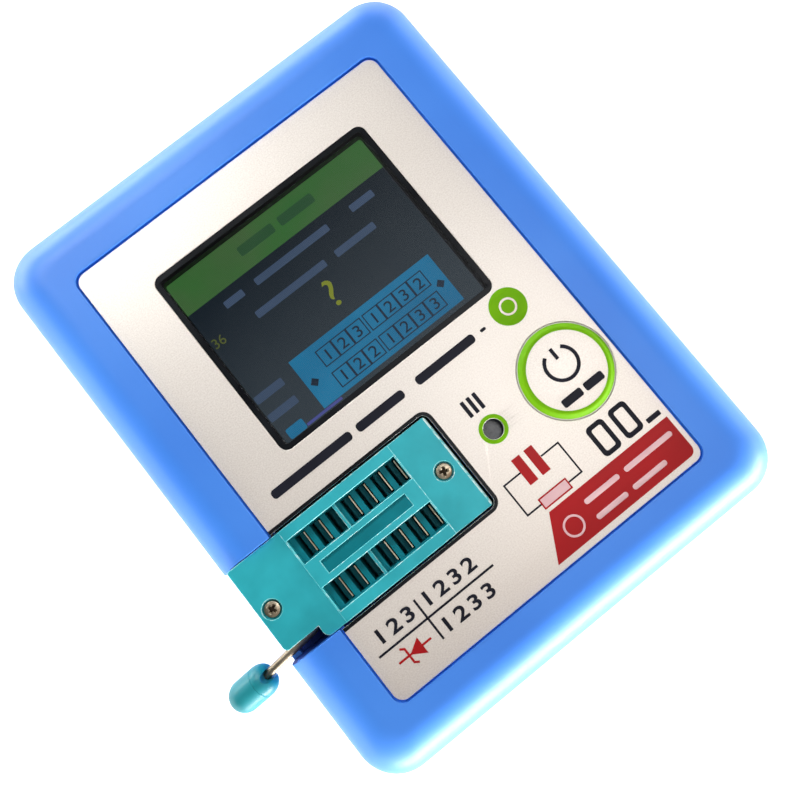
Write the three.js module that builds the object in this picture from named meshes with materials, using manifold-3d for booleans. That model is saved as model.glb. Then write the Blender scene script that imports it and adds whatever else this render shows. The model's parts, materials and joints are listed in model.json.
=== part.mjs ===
// Pocket component tester: a two-part moulded case with a printed front panel, a colour display,
// a 14-way zero-insertion-force socket with its cam lever, one push button and an infrared window.
// Millimetres, +Z out of the front panel, +Y towards the display end, origin on the flat back.
import * as THREE from 'three';
import { mergeVertices } from 'three/addons/utils/BufferGeometryUtils.js';
import Module from 'manifold-3d';

const wasm = await Module();
wasm.setup();

// ---- driving dimensions ----
const CASE = {
  width: 69.6, length: 89.4, depth: 27, corner: 6, innerCorner: 2.6, frontEdge: 6, innerEdge: 3, backEdge: 3,
  wall: 1.8, roof: 3.1, floor: 2, seam: 11, seamGap: 0.3,
};
const TONGUE = { gap: 0.15, wall: 0.9, depth: 2, rise: 1.4 };
const PLATE = { x: -0.12, y: -0.3, width: 51.4, length: 71.2, corner: 1.5, top: 26.6, thick: 0.6, gap: 0.15 };
const WINDOW = {
  x: PLATE.x + 0.36, y: PLATE.y + 13.96, width: 36.1, length: 29.8, corner: 1.3, thick: 1.5, ledge: 0.6,
  gap: 0.15,
};
const LCD = {
  x: PLATE.x + 0.6, y: PLATE.y + 14, viewWidth: 35.04, viewLength: 28.03, viewGap: 0.9, left: 19, right: 27.9,
  length: 34.2, top: 23.75, bottom: 20.3, glassBottom: 22.1, lightTop: 22, lip: 0.25, rim: 0.4, gap: 0.15,
};
const RIBBON = { slot: 17, width: 16, thick: 0.2, upper: 22.8, lower: 18.35, end: 21 };
const PAD = { width: 30, length: 22 };
const PCB = { left: -31.5, right: 31.5, front: -40.8, back: 42.1, bottom: 16.4, top: 18, hole: 0.45 };
const SOCKET = {
  x: PLATE.x - 14.6, y: PLATE.y - 15.85, left: -18.6, right: 14.4, half: 7.35, corner: 1.1, gap: 0.35,
  snug: 0.12, skirt: 0.9, baseTop: 4.6, coverBottom: 7.2, coverTop: 8.6, raised: 0.12, pitch: 2.54,
  rows: 3.81, perRow: 7,
};
const MOUTH = { left: -9.88, right: 7.95, half: 1.9, ribX: -2.29, ribHalf: 0.25, ribDrop: 0.5 };
const RAIL = { left: -8, right: 6, half: 0.95, depth: 0.35 };
const NOTCH = {
  x: -13.3, y: -5.45, chamfer: 0.6, round: 0.9, relief: 0.45, reliefTop: 7.6, wallTop: 19, shelfTop: 18.9,
  shelfFoot: 16.5, sideWall: 1.2, wallBite: 0.2, wallRise: 0.5,
};
const CONTACT = {
  thick: 0.25, half: 1.5, tail: 0.28, top: 6.95, shoulder: 2.1, end: -2.6, slotLeft: 0.3, slotRight: 0.35,
  slotHalf: 1.7, slotFloor: 1, openLeft: 1.6, openRight: 1,
};
const SLIDER = {
  left: -11.8, right: 9.6, half: 6.2, gap: 0.1, fingerLeft: -16.7, fingerHalf: 1.4, roof: 0.8, camX: 1.5,
  camY: 1.15, slotLeft: 1.45, slotRight: 0.25, slotHalf: 1.75,
};
const LEVER = {
  x: -14.4, z: 3.6, rod: 0.6, slope: 16, armY: -5.75, splay: 1.25, reach: 13, bend: 1, shaftEnd: 5.65,
  lobe: 1.15, lobeWidth: 1.8, lobeY: 2.8, throwOut: 0.8, clear: 0.3,
};
const HANDLE = {
  y: -6.85, yaw: 3, radius: 2.35, start: 9.6, length: 7.6, nearRound: 1.35, mouth: 0.85, mouthDepth: 0.8,
  bore: 0.75, boreDepth: 4, boreY: 0.1,
};
const BUTTON = {
  x: PLATE.x + 18.5, y: PLATE.y - 15.6, radius: 6.55, top: 27.3, flange: 0.9, flangeTop: 23.6, foot: 22.85,
  underside: 25.9, stem: 1.5, wall: 1, edge: 0.45, crown: 0.08, gap: 0.2,
};
const SWITCH = {
  half: 3, height: 3.4, bore: 1.95, floor: 2.1, plunger: 1.75, plungerFoot: 20.75, plungerTop: 22.75,
};
const IR = {
  x: PLATE.x + 6, y: PLATE.y - 15.6, radius: 1.4, rim: 0.9, roof: 1, foot: 23.95, bodyX: 3, bodyY: 3.5,
  bodyTop: 21.6, lens: 2.2, lensTop: 22.8,
};
const CASE_SCREW = {
  x: 28.6, y: 38.5, shank: 1.1, head: 2.1, headHeight: 1.6, length: 13, z: 1.35, post: 2.6, boreTop: 19,
  pocketDepth: 3, pocketWall: 1.5, pocketTop: 4.6,
};
const BOARD_SCREW = {
  x: 26, y: 33.4, shank: 0.8, head: 1.7, headHeight: 1.1, length: 5, post: 2.2, boreTop: 22.5,
};
const COVER_SCREW = {
  left: -16.7, right: 11.95, shank: 0.65, head: 1.15, headHeight: 0.6, length: 5.6, sink: 0.08, sleeve: 1.2,
  bore: 0.8, counterbore: 1.35, counterboreFloor: 7.9,
};
const USB = {
  x: 0, width: 7.5, height: 2.6, depth: 5.6, wall: 0.3, tongueHalf: 2, tongueThick: 0.6, tongueEnd: 1.4,
  mouthGap: 0.8, mouthCorner: 1.2,
};
const CELL = { x: -3, y: -4, width: 32, length: 42, thick: 6, radius: 1.2, lift: 0.4 };
const TAPE = { width: 22, length: 30, thick: 0.3 };
const LEAD = { radius: 0.6, spread: 1.4, offset: 8, plug: 1.1 };
const CHIPS = {
  microcontroller: { x: 8, y: -4, width: 9, length: 9, corner: 0.4, thick: 1.4 },
  crystal: { x: -3, y: 2, width: 11, length: 4.6, corner: 2.2, thick: 3.35 },
  charge_chip: { x: -10.5, y: 33, width: 5, length: 4, corner: 0.2, thick: 1.55 },
  battery_connector: { x: -21, y: 26.25, width: 6, length: 4.5, corner: 0.3, thick: 4.95 },
};
const INDUCTOR = { x: 20, y: 10, radius: 3.4, thick: 3.55 };
const CLEAR = 0.05;     // face to face between pieces that rest on each other
const SCREW_GAP = 0.1;  // round a screw's shank
const ROUND = 16;       // sides of a small round piece
const FINE = 36;        // sides of a large round piece
const THROUGH = 5;      // how far a cutter reaches past the wall it opens

// ---- materials ----
const finish = (color, roughness, metalness = 0, extra = {}) =>
  new THREE.MeshStandardMaterial({ color, roughness, metalness, ...extra });
const BLUE = finish(0x4a8be8, 0.5);
const SILVER = finish(0xd8d2ca, 0.42, 0.35);
const CLEAR_PLASTIC = finish(0x9aa4aa, 0.08, 0, { transparent: true, opacity: 0.35 });
const BLACK = finish(0x15171a, 0.45);
const GLASS = finish(0x20282e, 0.1);
const WHITE_PLASTIC = finish(0xe8e8e2, 0.5);
const AMBER_FILM = finish(0xb0702a, 0.4);
const BOARD_GREEN = finish(0x1c5a35, 0.5);
const TEAL = finish(0x2fb0ba, 0.42);
const GOLD = finish(0xd0a44a, 0.3, 1);
const NICKEL = finish(0xb9ac98, 0.28, 1);
const STEEL = finish(0xaaaeb2, 0.35, 1);
const SMOKE = finish(0x30343a, 0.25);
const CELL_FOIL = finish(0xb8bcc0, 0.35, 0.8);
const FOAM = finish(0x2a2c30, 0.95);
const RED_WIRE = finish(0xb41d1d, 0.5);
const BLACK_WIRE = finish(0x1a1a1c, 0.5);

// ---- solids: three.js geometry in, one joined or cut body out ----
function solid(geometry) {
  const bare = geometry.clone();
  bare.deleteAttribute('normal');
  bare.deleteAttribute('uv');
  const merged = mergeVertices(bare, 1e-5);
  return new wasm.Manifold(new wasm.Mesh({
    numProp: 3,
    vertProperties: new Float32Array(merged.attributes.position.array),
    triVerts: new Uint32Array(merged.index.array),
  }));
}

function toGeometry(body) {
  const { vertProperties, triVerts } = body.getMesh();
  const geometry = new THREE.BufferGeometry();
  geometry.setAttribute('position', new THREE.BufferAttribute(vertProperties, 3));
  geometry.setIndex(new THREE.BufferAttribute(triVerts, 1));
  geometry.computeVertexNormals();
  return geometry;
}

const join = (...bodies) => bodies.reduce((sum, next) => sum.add(next));
const cut = (body, ...tools) => tools.reduce((rest, tool) => rest.subtract(tool), body);

function box(x0, x1, y0, y1, z0, z1) {
  const block = new THREE.BoxGeometry(x1 - x0, y1 - y0, z1 - z0);
  block.translate((x0 + x1) / 2, (y0 + y1) / 2, (z0 + z1) / 2);
  return solid(block);
}

function post(x, y, radius, z0, z1, sides = ROUND) {
  const round = new THREE.CylinderGeometry(radius, radius, z1 - z0, sides);
  round.rotateX(Math.PI / 2);
  round.translate(x, y, (z0 + z1) / 2);
  return solid(round);
}

// A rectangle with four round corners, centred on (x, y).
function roundedShape(x, y, width, length, radius) {
  const [right, top] = [width / 2 - radius, length / 2 - radius];
  const shape = new THREE.Shape();
  const corners = [[right, top], [-right, top], [-right, -top], [right, -top]];
  corners.forEach(([cx, cy], quarter) => {
    const start = quarter * Math.PI / 2;
    shape.absarc(x + cx, y + cy, radius, start, start + Math.PI / 2, false);
  });
  return shape;
}

function slab(shape, z0, z1, curveSegments = 3) {
  const plate = new THREE.ExtrudeGeometry(shape, { depth: z1 - z0, bevelEnabled: false, curveSegments });
  plate.translate(0, 0, z0);
  return solid(plate);
}

const roundedSlab = (x, y, width, length, radius, z0, z1) =>
  slab(roundedShape(x, y, width, length, radius), z0, z1);

// A solid of stacked outlines, each one a rounded rectangle set in from the case's side.
function stackedCase(levels, steps = 6) {
  const positions = [];
  levels.forEach(({ z, inset, corner }) => {
    const [halfX, halfY] = [CASE.width / 2 - inset - corner, CASE.length / 2 - inset - corner];
    [[1, 1], [-1, 1], [-1, -1], [1, -1]].forEach(([sx, sy], quarter) => {
      for (let step = 0; step <= steps; step += 1) {
        const angle = (quarter + step / steps) * Math.PI / 2;
        positions.push(sx * halfX + corner * Math.cos(angle), sy * halfY + corner * Math.sin(angle), z);
      }
    });
  });
  const ring = 4 * (steps + 1);
  const faces = [];
  for (let level = 0; level < levels.length - 1; level += 1) {
    for (let i = 0; i < ring; i += 1) {
      const [a, b] = [level * ring + i, level * ring + (i + 1) % ring];
      faces.push(a, b, b + ring, a, b + ring, a + ring);
    }
  }
  const last = (levels.length - 1) * ring;
  for (let i = 1; i < ring - 1; i += 1) {
    faces.push(0, i + 1, i, last, last + i, last + i + 1);
  }
  const geometry = new THREE.BufferGeometry();
  geometry.setAttribute('position', new THREE.BufferAttribute(new Float32Array(positions), 3));
  geometry.setIndex(faces);
  return solid(geometry);
}

// Levels that turn an edge of the given radius, from the side wall (0) onto the face (1).
function edgeLevels(z, towards, radius, inset, steps) {
  return Array.from({ length: steps + 1 }, (_, step) => {
    const angle = step / steps * Math.PI / 2;
    const turned = radius * (1 - Math.cos(angle));
    const corner = CASE.corner - inset / 2 - (CASE.corner - CASE.innerCorner) * turned / CASE.frontEdge;
    return { z: z + towards * radius * Math.sin(angle), inset: inset + turned, corner };
  });
}

const part = new THREE.Group();

function add(name, body, material, parent = part, place = [0, 0, 0]) {
  const mesh = new THREE.Mesh(body instanceof THREE.BufferGeometry ? body : toGeometry(body), material);
  mesh.name = name;
  mesh.position.set(...place);
  parent.add(mesh);
  return mesh;
}

const fourCorners = ({ x, y }) => [[x, y], [-x, y], [-x, -y], [x, -y]];

// ---- case ----
const CEILING = CASE.depth - CASE.roof;
const PLATE_BED = PLATE.top - PLATE.thick - CLEAR;
const HIGH = CASE.depth + THROUGH;

// What opens the front half for the socket: the well, and the notch in the side where the lever comes out.
function socketOpening() {
  const [left, right] = [SOCKET.x + SOCKET.left, SOCKET.x + SOCKET.right];
  const [low, high] = [SOCKET.y - SOCKET.half - SOCKET.snug, SOCKET.y + SOCKET.half + SOCKET.snug];
  return [
    box(left - SOCKET.snug, right + SOCKET.gap, low, high, CEILING - 1, HIGH),
    box(left - SOCKET.snug, SOCKET.x + MOUTH.left, low, high, PCB.top - LEVER.clear, HIGH),
    box(-CASE.width, SOCKET.x + MOUTH.left, low, high, NOTCH.wallTop, HIGH),
  ];
}

// A ledge under the lever, from the side wall over the circuit board's edge, and the wall beside it.
function leverShelf() {
  const wall = CASE.wall / 2 - CASE.width / 2;
  const [low, high] = [SOCKET.y - SOCKET.half - SOCKET.snug, SOCKET.y + NOTCH.y - LEVER.clear];
  const outside = low - NOTCH.sideWall;
  return join(box(wall, SOCKET.x + NOTCH.x - LEVER.clear, outside, high, PCB.top + CLEAR, NOTCH.shelfTop),
    box(wall, PCB.left - LEVER.clear, outside, high, NOTCH.shelfFoot, NOTCH.shelfTop),
    box(CASE.wall - NOTCH.wallBite - CASE.width / 2, SOCKET.x + MOUTH.left, outside, low, PCB.top + CLEAR,
      CEILING + NOTCH.wallRise));
}

function upperShell() {
  const bottom = CASE.seam + CASE.seamGap / 2;
  const outer = stackedCase([{ z: bottom, inset: 0, corner: CASE.corner },
    ...edgeLevels(CASE.depth - CASE.frontEdge, 1, CASE.frontEdge, 0, 8)]);
  const cavity = stackedCase([{ z: bottom - THROUGH, inset: CASE.wall, corner: CASE.corner - CASE.wall / 2 },
    ...edgeLevels(CEILING - CASE.innerEdge, 1, CASE.innerEdge, CASE.wall, 4)]);
  const bosses = [
    ...fourCorners(CASE_SCREW).map(([x, y]) => post(x, y, CASE_SCREW.post, bottom + CLEAR, CEILING + 1)),
    ...fourCorners(BOARD_SCREW).map(([x, y]) => post(x, y, BOARD_SCREW.post, PCB.top + CLEAR, CEILING + 1)),
  ];
  const windowBed = PLATE.top - WINDOW.thick - CLEAR;
  const opened = cut(join(cut(outer, cavity), ...bosses),
    roundedSlab(PLATE.x, PLATE.y, PLATE.width + 2 * PLATE.gap, PLATE.length + 2 * PLATE.gap, PLATE.corner,
      PLATE_BED, HIGH),
    roundedSlab(WINDOW.x, WINDOW.y, WINDOW.width, WINDOW.length, WINDOW.corner, windowBed, HIGH),
    roundedSlab(WINDOW.x, WINDOW.y, WINDOW.width - 2 * WINDOW.ledge, WINDOW.length - 2 * WINDOW.ledge,
      WINDOW.corner / 2, CEILING - 1, HIGH),
    ...socketOpening(),
    post(BUTTON.x, BUTTON.y, BUTTON.radius + LEVER.clear, CEILING - 1, HIGH, FINE),
    post(IR.x, IR.y, IR.radius + IR.rim + LEVER.clear, CEILING - 1, PLATE_BED - IR.roof),
    post(IR.x, IR.y, IR.radius, CEILING - 1, HIGH),
    roundedSlab(0, 0, USB.width + 2 * USB.mouthGap, USB.height + 2 * USB.mouthGap, USB.mouthCorner,
      0, CASE.length).rotate([-90, 0, 0]).translate([USB.x, 0, PCB.bottom - USB.height / 2]),
    ...fourCorners(CASE_SCREW).map(([x, y]) =>
      post(x, y, CASE_SCREW.shank + SCREW_GAP, bottom - 1, CASE_SCREW.boreTop)),
    ...fourCorners(BOARD_SCREW).map(([x, y]) =>
      post(x, y, BOARD_SCREW.shank + SCREW_GAP, PCB.top - 1, BOARD_SCREW.boreTop)));
  return join(opened, leverShelf());
}

function lowerShell() {
  const top = CASE.seam - CASE.seamGap / 2;
  const tongueIn = CASE.wall + TONGUE.gap;
  const sideCorner = CASE.corner - CASE.wall / 2;
  const outer = stackedCase([...edgeLevels(CASE.backEdge, -1, CASE.backEdge, 0, 5).reverse(),
    { z: top, inset: 0, corner: CASE.corner }]);
  const cavity = stackedCase([
    { z: CASE.floor, inset: CASE.wall + 1, corner: CASE.corner - CASE.wall },
    { z: CASE.floor + 1, inset: CASE.wall, corner: sideCorner },
    { z: top + THROUGH, inset: CASE.wall, corner: sideCorner }]);
  const ring = (inset, z0, z1) => stackedCase([z0, z1].map((z) =>
    ({ z, inset, corner: CASE.corner - inset / 2 })));
  const hollow = ring(tongueIn + TONGUE.wall, top - TONGUE.depth - 1, top + TONGUE.rise + 1);
  const tongue = cut(ring(tongueIn, top - TONGUE.depth, top + TONGUE.rise), hollow);
  const tongueRoot = cut(ring(CASE.wall - TONGUE.gap, top - TONGUE.depth, top - TONGUE.wall), hollow);
  const { post: sleeve, head, shank, pocketWall, pocketTop, pocketDepth } = CASE_SCREW;
  const posts = fourCorners(CASE_SCREW).flatMap(([x, y]) => [
    post(x, y, sleeve, CASE.floor - 1, top),
    post(x, y, head + pocketWall, CASE.floor - 1, pocketTop)]);
  const bores = fourCorners(CASE_SCREW).flatMap(([x, y]) => [
    post(x, y, shank + SCREW_GAP, 0, top + THROUGH),
    post(x, y, head + 3 * SCREW_GAP, -1, pocketDepth)]);
  return cut(join(cut(outer, cavity), tongue, tongueRoot, ...posts), ...bores);
}

// Front panel: a printed sheet with openings for the display, the socket, the button and the receiver.
function faceplate() {
  const [low, high] = [PLATE.top - PLATE.thick, PLATE.top];
  const [under, over] = [low - 1, high + 1];
  const socketRight = SOCKET.x + SOCKET.right + SOCKET.gap;
  return cut(roundedSlab(PLATE.x, PLATE.y, PLATE.width, PLATE.length, PLATE.corner, low, high),
    roundedSlab(WINDOW.x, WINDOW.y, WINDOW.width, WINDOW.length, WINDOW.corner, under, over),
    roundedSlab((socketRight - CASE.width) / 2, SOCKET.y, socketRight + CASE.width,
      2 * (SOCKET.half + SOCKET.gap), SOCKET.corner, under, over),
    post(BUTTON.x, BUTTON.y, BUTTON.radius + BUTTON.gap, under, over, FINE),
    post(IR.x, IR.y, IR.radius, under, over));
}

// ---- display ----
function displayWindow() {
  const [width, length] = [WINDOW.width - 2 * WINDOW.gap, WINDOW.length - 2 * WINDOW.gap];
  return roundedSlab(WINDOW.x, WINDOW.y, width, length, WINDOW.corner - WINDOW.gap,
    PLATE.top - WINDOW.thick, PLATE.top - CLEAR);
}

function lcdFrame() {
  const middle = LCD.x + (LCD.right - LCD.left) / 2;
  const [width, edge, corner] = [LCD.left + LCD.right, LCD.x + LCD.right, 2 * LCD.rim];
  return cut(roundedSlab(middle, LCD.y, width, LCD.length, corner, LCD.bottom, LCD.top),
    roundedSlab(middle, LCD.y, width - 2 * LCD.rim, LCD.length - 2 * LCD.rim, LCD.rim,
      LCD.bottom - 1, LCD.top - LCD.lip),
    roundedSlab(LCD.x, LCD.y, LCD.viewWidth + LCD.viewGap, LCD.viewLength + LCD.viewGap, LCD.rim,
      LCD.top - 1, LCD.top + 1),
    box(edge - 2, edge + 2, LCD.y - RIBBON.slot / 2, LCD.y + RIBBON.slot / 2,
      LCD.bottom - 1, LCD.top - LCD.lip));
}

function lcdLayer(z0, z1) {
  const margin = LCD.rim + LCD.gap;
  return box(LCD.x - LCD.left + margin, LCD.x + LCD.right - margin,
    LCD.y - LCD.length / 2 + margin, LCD.y + LCD.length / 2 - margin, z0, z1);
}

// Flexible ribbon: leaves the glass, turns over outside the frame and lies on the circuit board.
function lcdRibbon() {
  const { upper, lower, thick, width, end } = RIBBON;
  const middle = (upper + lower) / 2;
  const radius = (upper - lower) / 2;
  const [start, turn] = [LCD.x + LCD.right - LCD.rim - CLEAR, LCD.x + LCD.right + thick];
  const strip = new THREE.Shape();
  strip.moveTo(start, upper + thick / 2);
  strip.lineTo(turn, upper + thick / 2);
  strip.absarc(turn, middle, radius + thick / 2, Math.PI / 2, -Math.PI / 2, true);
  strip.lineTo(end, lower - thick / 2);
  strip.lineTo(end, lower + thick / 2);
  strip.lineTo(turn, lower + thick / 2);
  strip.absarc(turn, middle, radius - thick / 2, -Math.PI / 2, Math.PI / 2, false);
  strip.lineTo(start, upper - thick / 2);
  const ribbon = new THREE.ExtrudeGeometry(strip, { depth: width, bevelEnabled: false, curveSegments: 8 });
  ribbon.rotateX(Math.PI / 2);
  ribbon.translate(0, LCD.y + width / 2, 0);
  return ribbon;
}

// ---- circuit board and what it carries ----
const contactSpots = Array.from({ length: 2 * SOCKET.perRow }, (_, index) => {
  const column = index % SOCKET.perRow - (SOCKET.perRow - 1) / 2;
  return [column * SOCKET.pitch, index < SOCKET.perRow ? SOCKET.rows : -SOCKET.rows];
});

function circuitBoard() {
  const [low, high] = [PCB.bottom - 1, PCB.top + 1];
  const cutters = [
    ...fourCorners(CASE_SCREW).map(([x, y]) => post(x, y, CASE_SCREW.post + 1, low, high)),
    ...fourCorners(CASE_SCREW).map(([x, y]) =>
      box(Math.min(x, 2 * x), Math.max(x, 2 * x), Math.min(y, 2 * y), Math.max(y, 2 * y), low, high)),
    ...fourCorners(BOARD_SCREW).map(([x, y]) => post(x, y, BOARD_SCREW.shank + 2 * SCREW_GAP, low, high)),
    ...contactSpots.map(([x, y]) => box(SOCKET.x + x - PCB.hole, SOCKET.x + x + PCB.hole,
      SOCKET.y + y - PCB.hole, SOCKET.y + y + PCB.hole, low, high)),
  ];
  return cut(box(PCB.left, PCB.right, PCB.front, PCB.back, PCB.bottom, PCB.top), ...cutters);
}

// A block that hangs under the circuit board.
function underBoard({ x, y, width, length, corner, thick }) {
  return roundedSlab(x, y, width, length, corner, PCB.bottom - CLEAR - thick, PCB.bottom - CLEAR);
}

function usbPort() {
  const [halfX, halfZ, tongueZ] = [USB.width / 2, USB.height / 2, USB.tongueThick / 2];
  const shell = cut(box(-halfX, halfX, -USB.depth, 0, -halfZ, halfZ),
    box(USB.wall - halfX, halfX - USB.wall, USB.wall - USB.depth, 1, USB.wall - halfZ, halfZ - USB.wall));
  return join(shell, box(-USB.tongueHalf, USB.tongueHalf, -USB.depth, -USB.tongueEnd, -tongueZ, tongueZ));
}

// Tactile switch: a square body with a round plunger that the button's stem pushes.
function switchBody() {
  const { half, height, bore, floor } = SWITCH;
  return cut(box(-half, half, -half, half, CLEAR, height), post(0, 0, bore, floor, height + 1));
}

function irReceiver() {
  const { x, y, bodyX, bodyY, bodyTop, lens, lensTop } = IR;
  return join(box(x - bodyX, x + bodyX, y - bodyY, y + bodyY, PCB.top + CLEAR, bodyTop),
    post(x, y, lens, bodyTop - 1, lensTop));
}

function lathe(points, sides = ROUND) {
  const turned = new THREE.LatheGeometry(points.map(([r, z]) => new THREE.Vector2(r, z)), sides);
  turned.rotateX(Math.PI / 2);
  return solid(turned);
}

// The button: a crowned cap in the panel, a flange that keeps it in and a stem down to the switch.
function testButton() {
  const { radius, foot, underside, flangeTop, stem, wall, edge, crown, top } = BUTTON;
  const [inner, flange] = [radius - wall, radius + BUTTON.flange];
  return lathe([[0, foot], [stem, foot], [stem, underside], [inner, underside], [inner, foot], [flange, foot],
    [flange, flangeTop], [radius, flangeTop], [radius, top - edge], [radius - edge / 3, top - edge / 3],
    [radius - edge, top - crown], [radius / 2, top], [0, top]], FINE);
}

// ---- socket ----
function socketOutline(inset) {
  const [left, right, half] = [SOCKET.left + inset, SOCKET.right - inset, SOCKET.half - inset];
  const [notchX, notchY, { round, chamfer }] = [NOTCH.x + inset, NOTCH.y + inset, NOTCH];
  const shape = new THREE.Shape();
  shape.moveTo(left, half);
  shape.lineTo(left, notchY + chamfer);
  shape.lineTo(left + chamfer, notchY);
  shape.lineTo(notchX, notchY);
  shape.absarc(notchX + round, round - half, round, Math.PI, 1.5 * Math.PI, false);
  shape.lineTo(right, -half);
  shape.lineTo(right, half);
  shape.closePath();
  return shape;
}

const screwSpots = [['left', COVER_SCREW.left], ['right', COVER_SCREW.right]];
const slotSides = [SOCKET.rows, -SOCKET.rows];
const lobeSides = [LEVER.lobeY, -LEVER.lobeY];

// What sets the wall beside the lever back, up to a height.
const leverRelief = (top) =>
  box(SOCKET.left - 1, NOTCH.x, -SOCKET.half, NOTCH.y + NOTCH.relief, 0, top);

function socketBase() {
  const { slotLeft, slotRight, slotHalf, slotFloor, openLeft, openRight } = CONTACT;
  const above = SOCKET.baseTop + 1;
  const shaft = LEVER.rod + LEVER.clear;
  const [lobeX, lobeY] = [LEVER.throwOut + LEVER.lobe + LEVER.clear, LEVER.lobeWidth / 2 + LEVER.clear];
  const cutters = [
    ...contactSpots.map(([x, y]) =>
      box(x - slotLeft, x + slotRight, y - slotHalf, y + slotHalf, slotFloor, above)),
    ...contactSpots.map(([x, y]) =>
      box(x - openLeft, x - openRight, y - slotHalf, y + slotHalf, slotFloor, above)),
    ...contactSpots.map(([x, y]) =>
      box(x - slotLeft, x + slotRight, y - slotRight, y + slotRight, -1, slotFloor + 1)),
    leverRelief(above),
    ...lobeSides.map((y) => box(LEVER.x - lobeX, LEVER.x + lobeX, y - lobeY, y + lobeY,
      LEVER.z - LEVER.lobe - LEVER.clear, above)),
    box(LEVER.x - shaft, LEVER.x + shaft, -THROUGH - SOCKET.half, LEVER.shaftEnd + LEVER.clear,
      LEVER.z - shaft, above),
    ...screwSpots.map(([, x]) => post(x, 0, COVER_SCREW.shank + 2 * SCREW_GAP, slotFloor, above)),
  ];
  return cut(slab(socketOutline(SOCKET.snug), CLEAR, SOCKET.baseTop), ...cutters);
}

// The sliding plate between base and cover: one slot for each contact and two fingers around the cam.
function socketSlider() {
  const { left, right, half, gap, fingerLeft, fingerHalf, roof, camX, camY } = SLIDER;
  const { slotLeft, slotRight, slotHalf } = SLIDER;
  const [bottom, top] = [SOCKET.baseTop + gap, SOCKET.coverBottom - gap];
  const fingers = lobeSides.map((y) =>
    box(fingerLeft, left + gap, y - fingerHalf, y + fingerHalf, bottom, top));
  const camSlots = lobeSides.map((y) =>
    box(LEVER.x - camX, LEVER.x + camX, y - camY, y + camY, bottom - 1, top - roof));
  const slots = contactSpots.map(([x, y]) =>
    box(x - slotLeft, x + slotRight, y - slotHalf, y + slotHalf, bottom - 1, top + 1));
  return cut(join(box(left, right, -half, half, bottom, top), ...fingers), ...camSlots, ...slots);
}

function socketCover() {
  const [low, high] = [SOCKET.coverBottom, SOCKET.coverTop];
  const foot = SOCKET.baseTop + CLEAR;
  const bed = low + 4 * CLEAR;
  const shaft = LEVER.rod + LEVER.clear;
  const { ribX, ribHalf, ribDrop } = MOUTH;
  const { sleeve, bore, counterbore, counterboreFloor } = COVER_SCREW;
  const shell = cut(slab(socketOutline(0), foot, high), slab(socketOutline(SOCKET.skirt), foot - 1, low));
  const middle = box(MOUTH.left, MOUTH.right, -SOCKET.half, SOCKET.half, bed, high + SOCKET.raised);
  const sleeves = screwSpots.map(([, x]) => post(x, 0, sleeve, foot, bed));
  const mouths = slotSides.map((y) =>
    box(MOUTH.left, MOUTH.right, y - MOUTH.half, y + MOUTH.half, low - 1, high + 1));
  const ribs = slotSides.map((y) => box(ribX - ribHalf, ribX + ribHalf, y - MOUTH.half - ribHalf,
    y + MOUTH.half + ribHalf, low + CLEAR, high - ribDrop));
  return cut(join(cut(join(shell, middle, ...sleeves), ...mouths), ...ribs),
    box(RAIL.left, RAIL.right, -RAIL.half, RAIL.half, high - RAIL.depth, high + 1),
    box(LEVER.x - shaft, LEVER.x + shaft, -SOCKET.half, 0, 0, foot + LEVER.clear / 2),
    leverRelief(NOTCH.reliefTop),
    ...screwSpots.flatMap(([, x]) => [post(x, 0, bore, 0, high + 1),
      post(x, 0, counterbore, counterboreFloor, high + 1)]));
}

// A blade in the socket with a narrow tail that is soldered through the board.
function contact() {
  const { half, tail, top, shoulder, end, thick } = CONTACT;
  const outline = new THREE.Shape([[-half, top], [-half, shoulder], [-tail, shoulder], [-tail, end],
    [tail, end], [tail, shoulder], [half, shoulder], [half, top]].map(([y, z]) => new THREE.Vector2(y, z)));
  const strip = new THREE.ExtrudeGeometry(outline, { depth: thick, bevelEnabled: false });
  strip.rotateX(Math.PI / 2);
  strip.rotateZ(Math.PI / 2);
  strip.translate(-thick / 2, 0, 0);
  return solid(strip);
}

// A cross-head screw that hangs down from its head's flat top.
function crossScrew({ head, headHeight, shank, length }) {
  const [arm, blade, bit] = [head * 0.62, head * 0.16, headHeight * 0.55];
  const foot = -headHeight - length;
  const body = join(post(0, 0, head, -headHeight, 0), post(0, 0, shank, foot, CLEAR - headHeight));
  return cut(body, box(-arm, arm, -blade, blade, -bit, 1), box(-blade, blade, -arm, arm, -bit, 1));
}

const slope = LEVER.slope * Math.PI / 180;

// A place on the lever's arm, so far out from the shaft and moved sideways to y.
const onArm = (out, y) => new THREE.Vector3(-out * Math.cos(slope), y, -out * Math.sin(slope));

// Lever: a round rod whose shaft lies across the socket, with two cam lobes. Its arm slopes down and splays
// a little.
function leverRod() {
  const { armY, bend, reach, splay, rod: radius, lobe: lobeRadius, lobeWidth, throwOut, shaftEnd } = LEVER;
  const path = new THREE.CurvePath();
  const shaftFoot = new THREE.Vector3(0, armY + bend, 0);
  const armStart = onArm(bend, armY);
  path.add(new THREE.LineCurve3(new THREE.Vector3(0, shaftEnd, 0), shaftFoot));
  path.add(new THREE.QuadraticBezierCurve3(shaftFoot, new THREE.Vector3(0, armY, 0), armStart));
  path.add(new THREE.LineCurve3(armStart, onArm(reach, armY - splay)));
  const section = new THREE.Shape();
  section.absarc(0, 0, radius, 0, 2 * Math.PI, false);
  const rod = solid(new THREE.ExtrudeGeometry(section, { steps: 36, curveSegments: 5, extrudePath: path }));
  const lobes = lobeSides.map((y) => {
    const lobe = new THREE.CylinderGeometry(lobeRadius, lobeRadius, lobeWidth, ROUND);
    lobe.translate(0, y, throwOut);
    return solid(lobe);
  });
  return join(rod, ...lobes);
}

// Points of a quarter circle from angle 0 to a right angle: [sine, cosine].
const quarter = (steps) => Array.from({ length: steps + 1 }, (_, i) => {
  const angle = i / steps * Math.PI / 2;
  return [Math.sin(angle), Math.cos(angle)];
});

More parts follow.
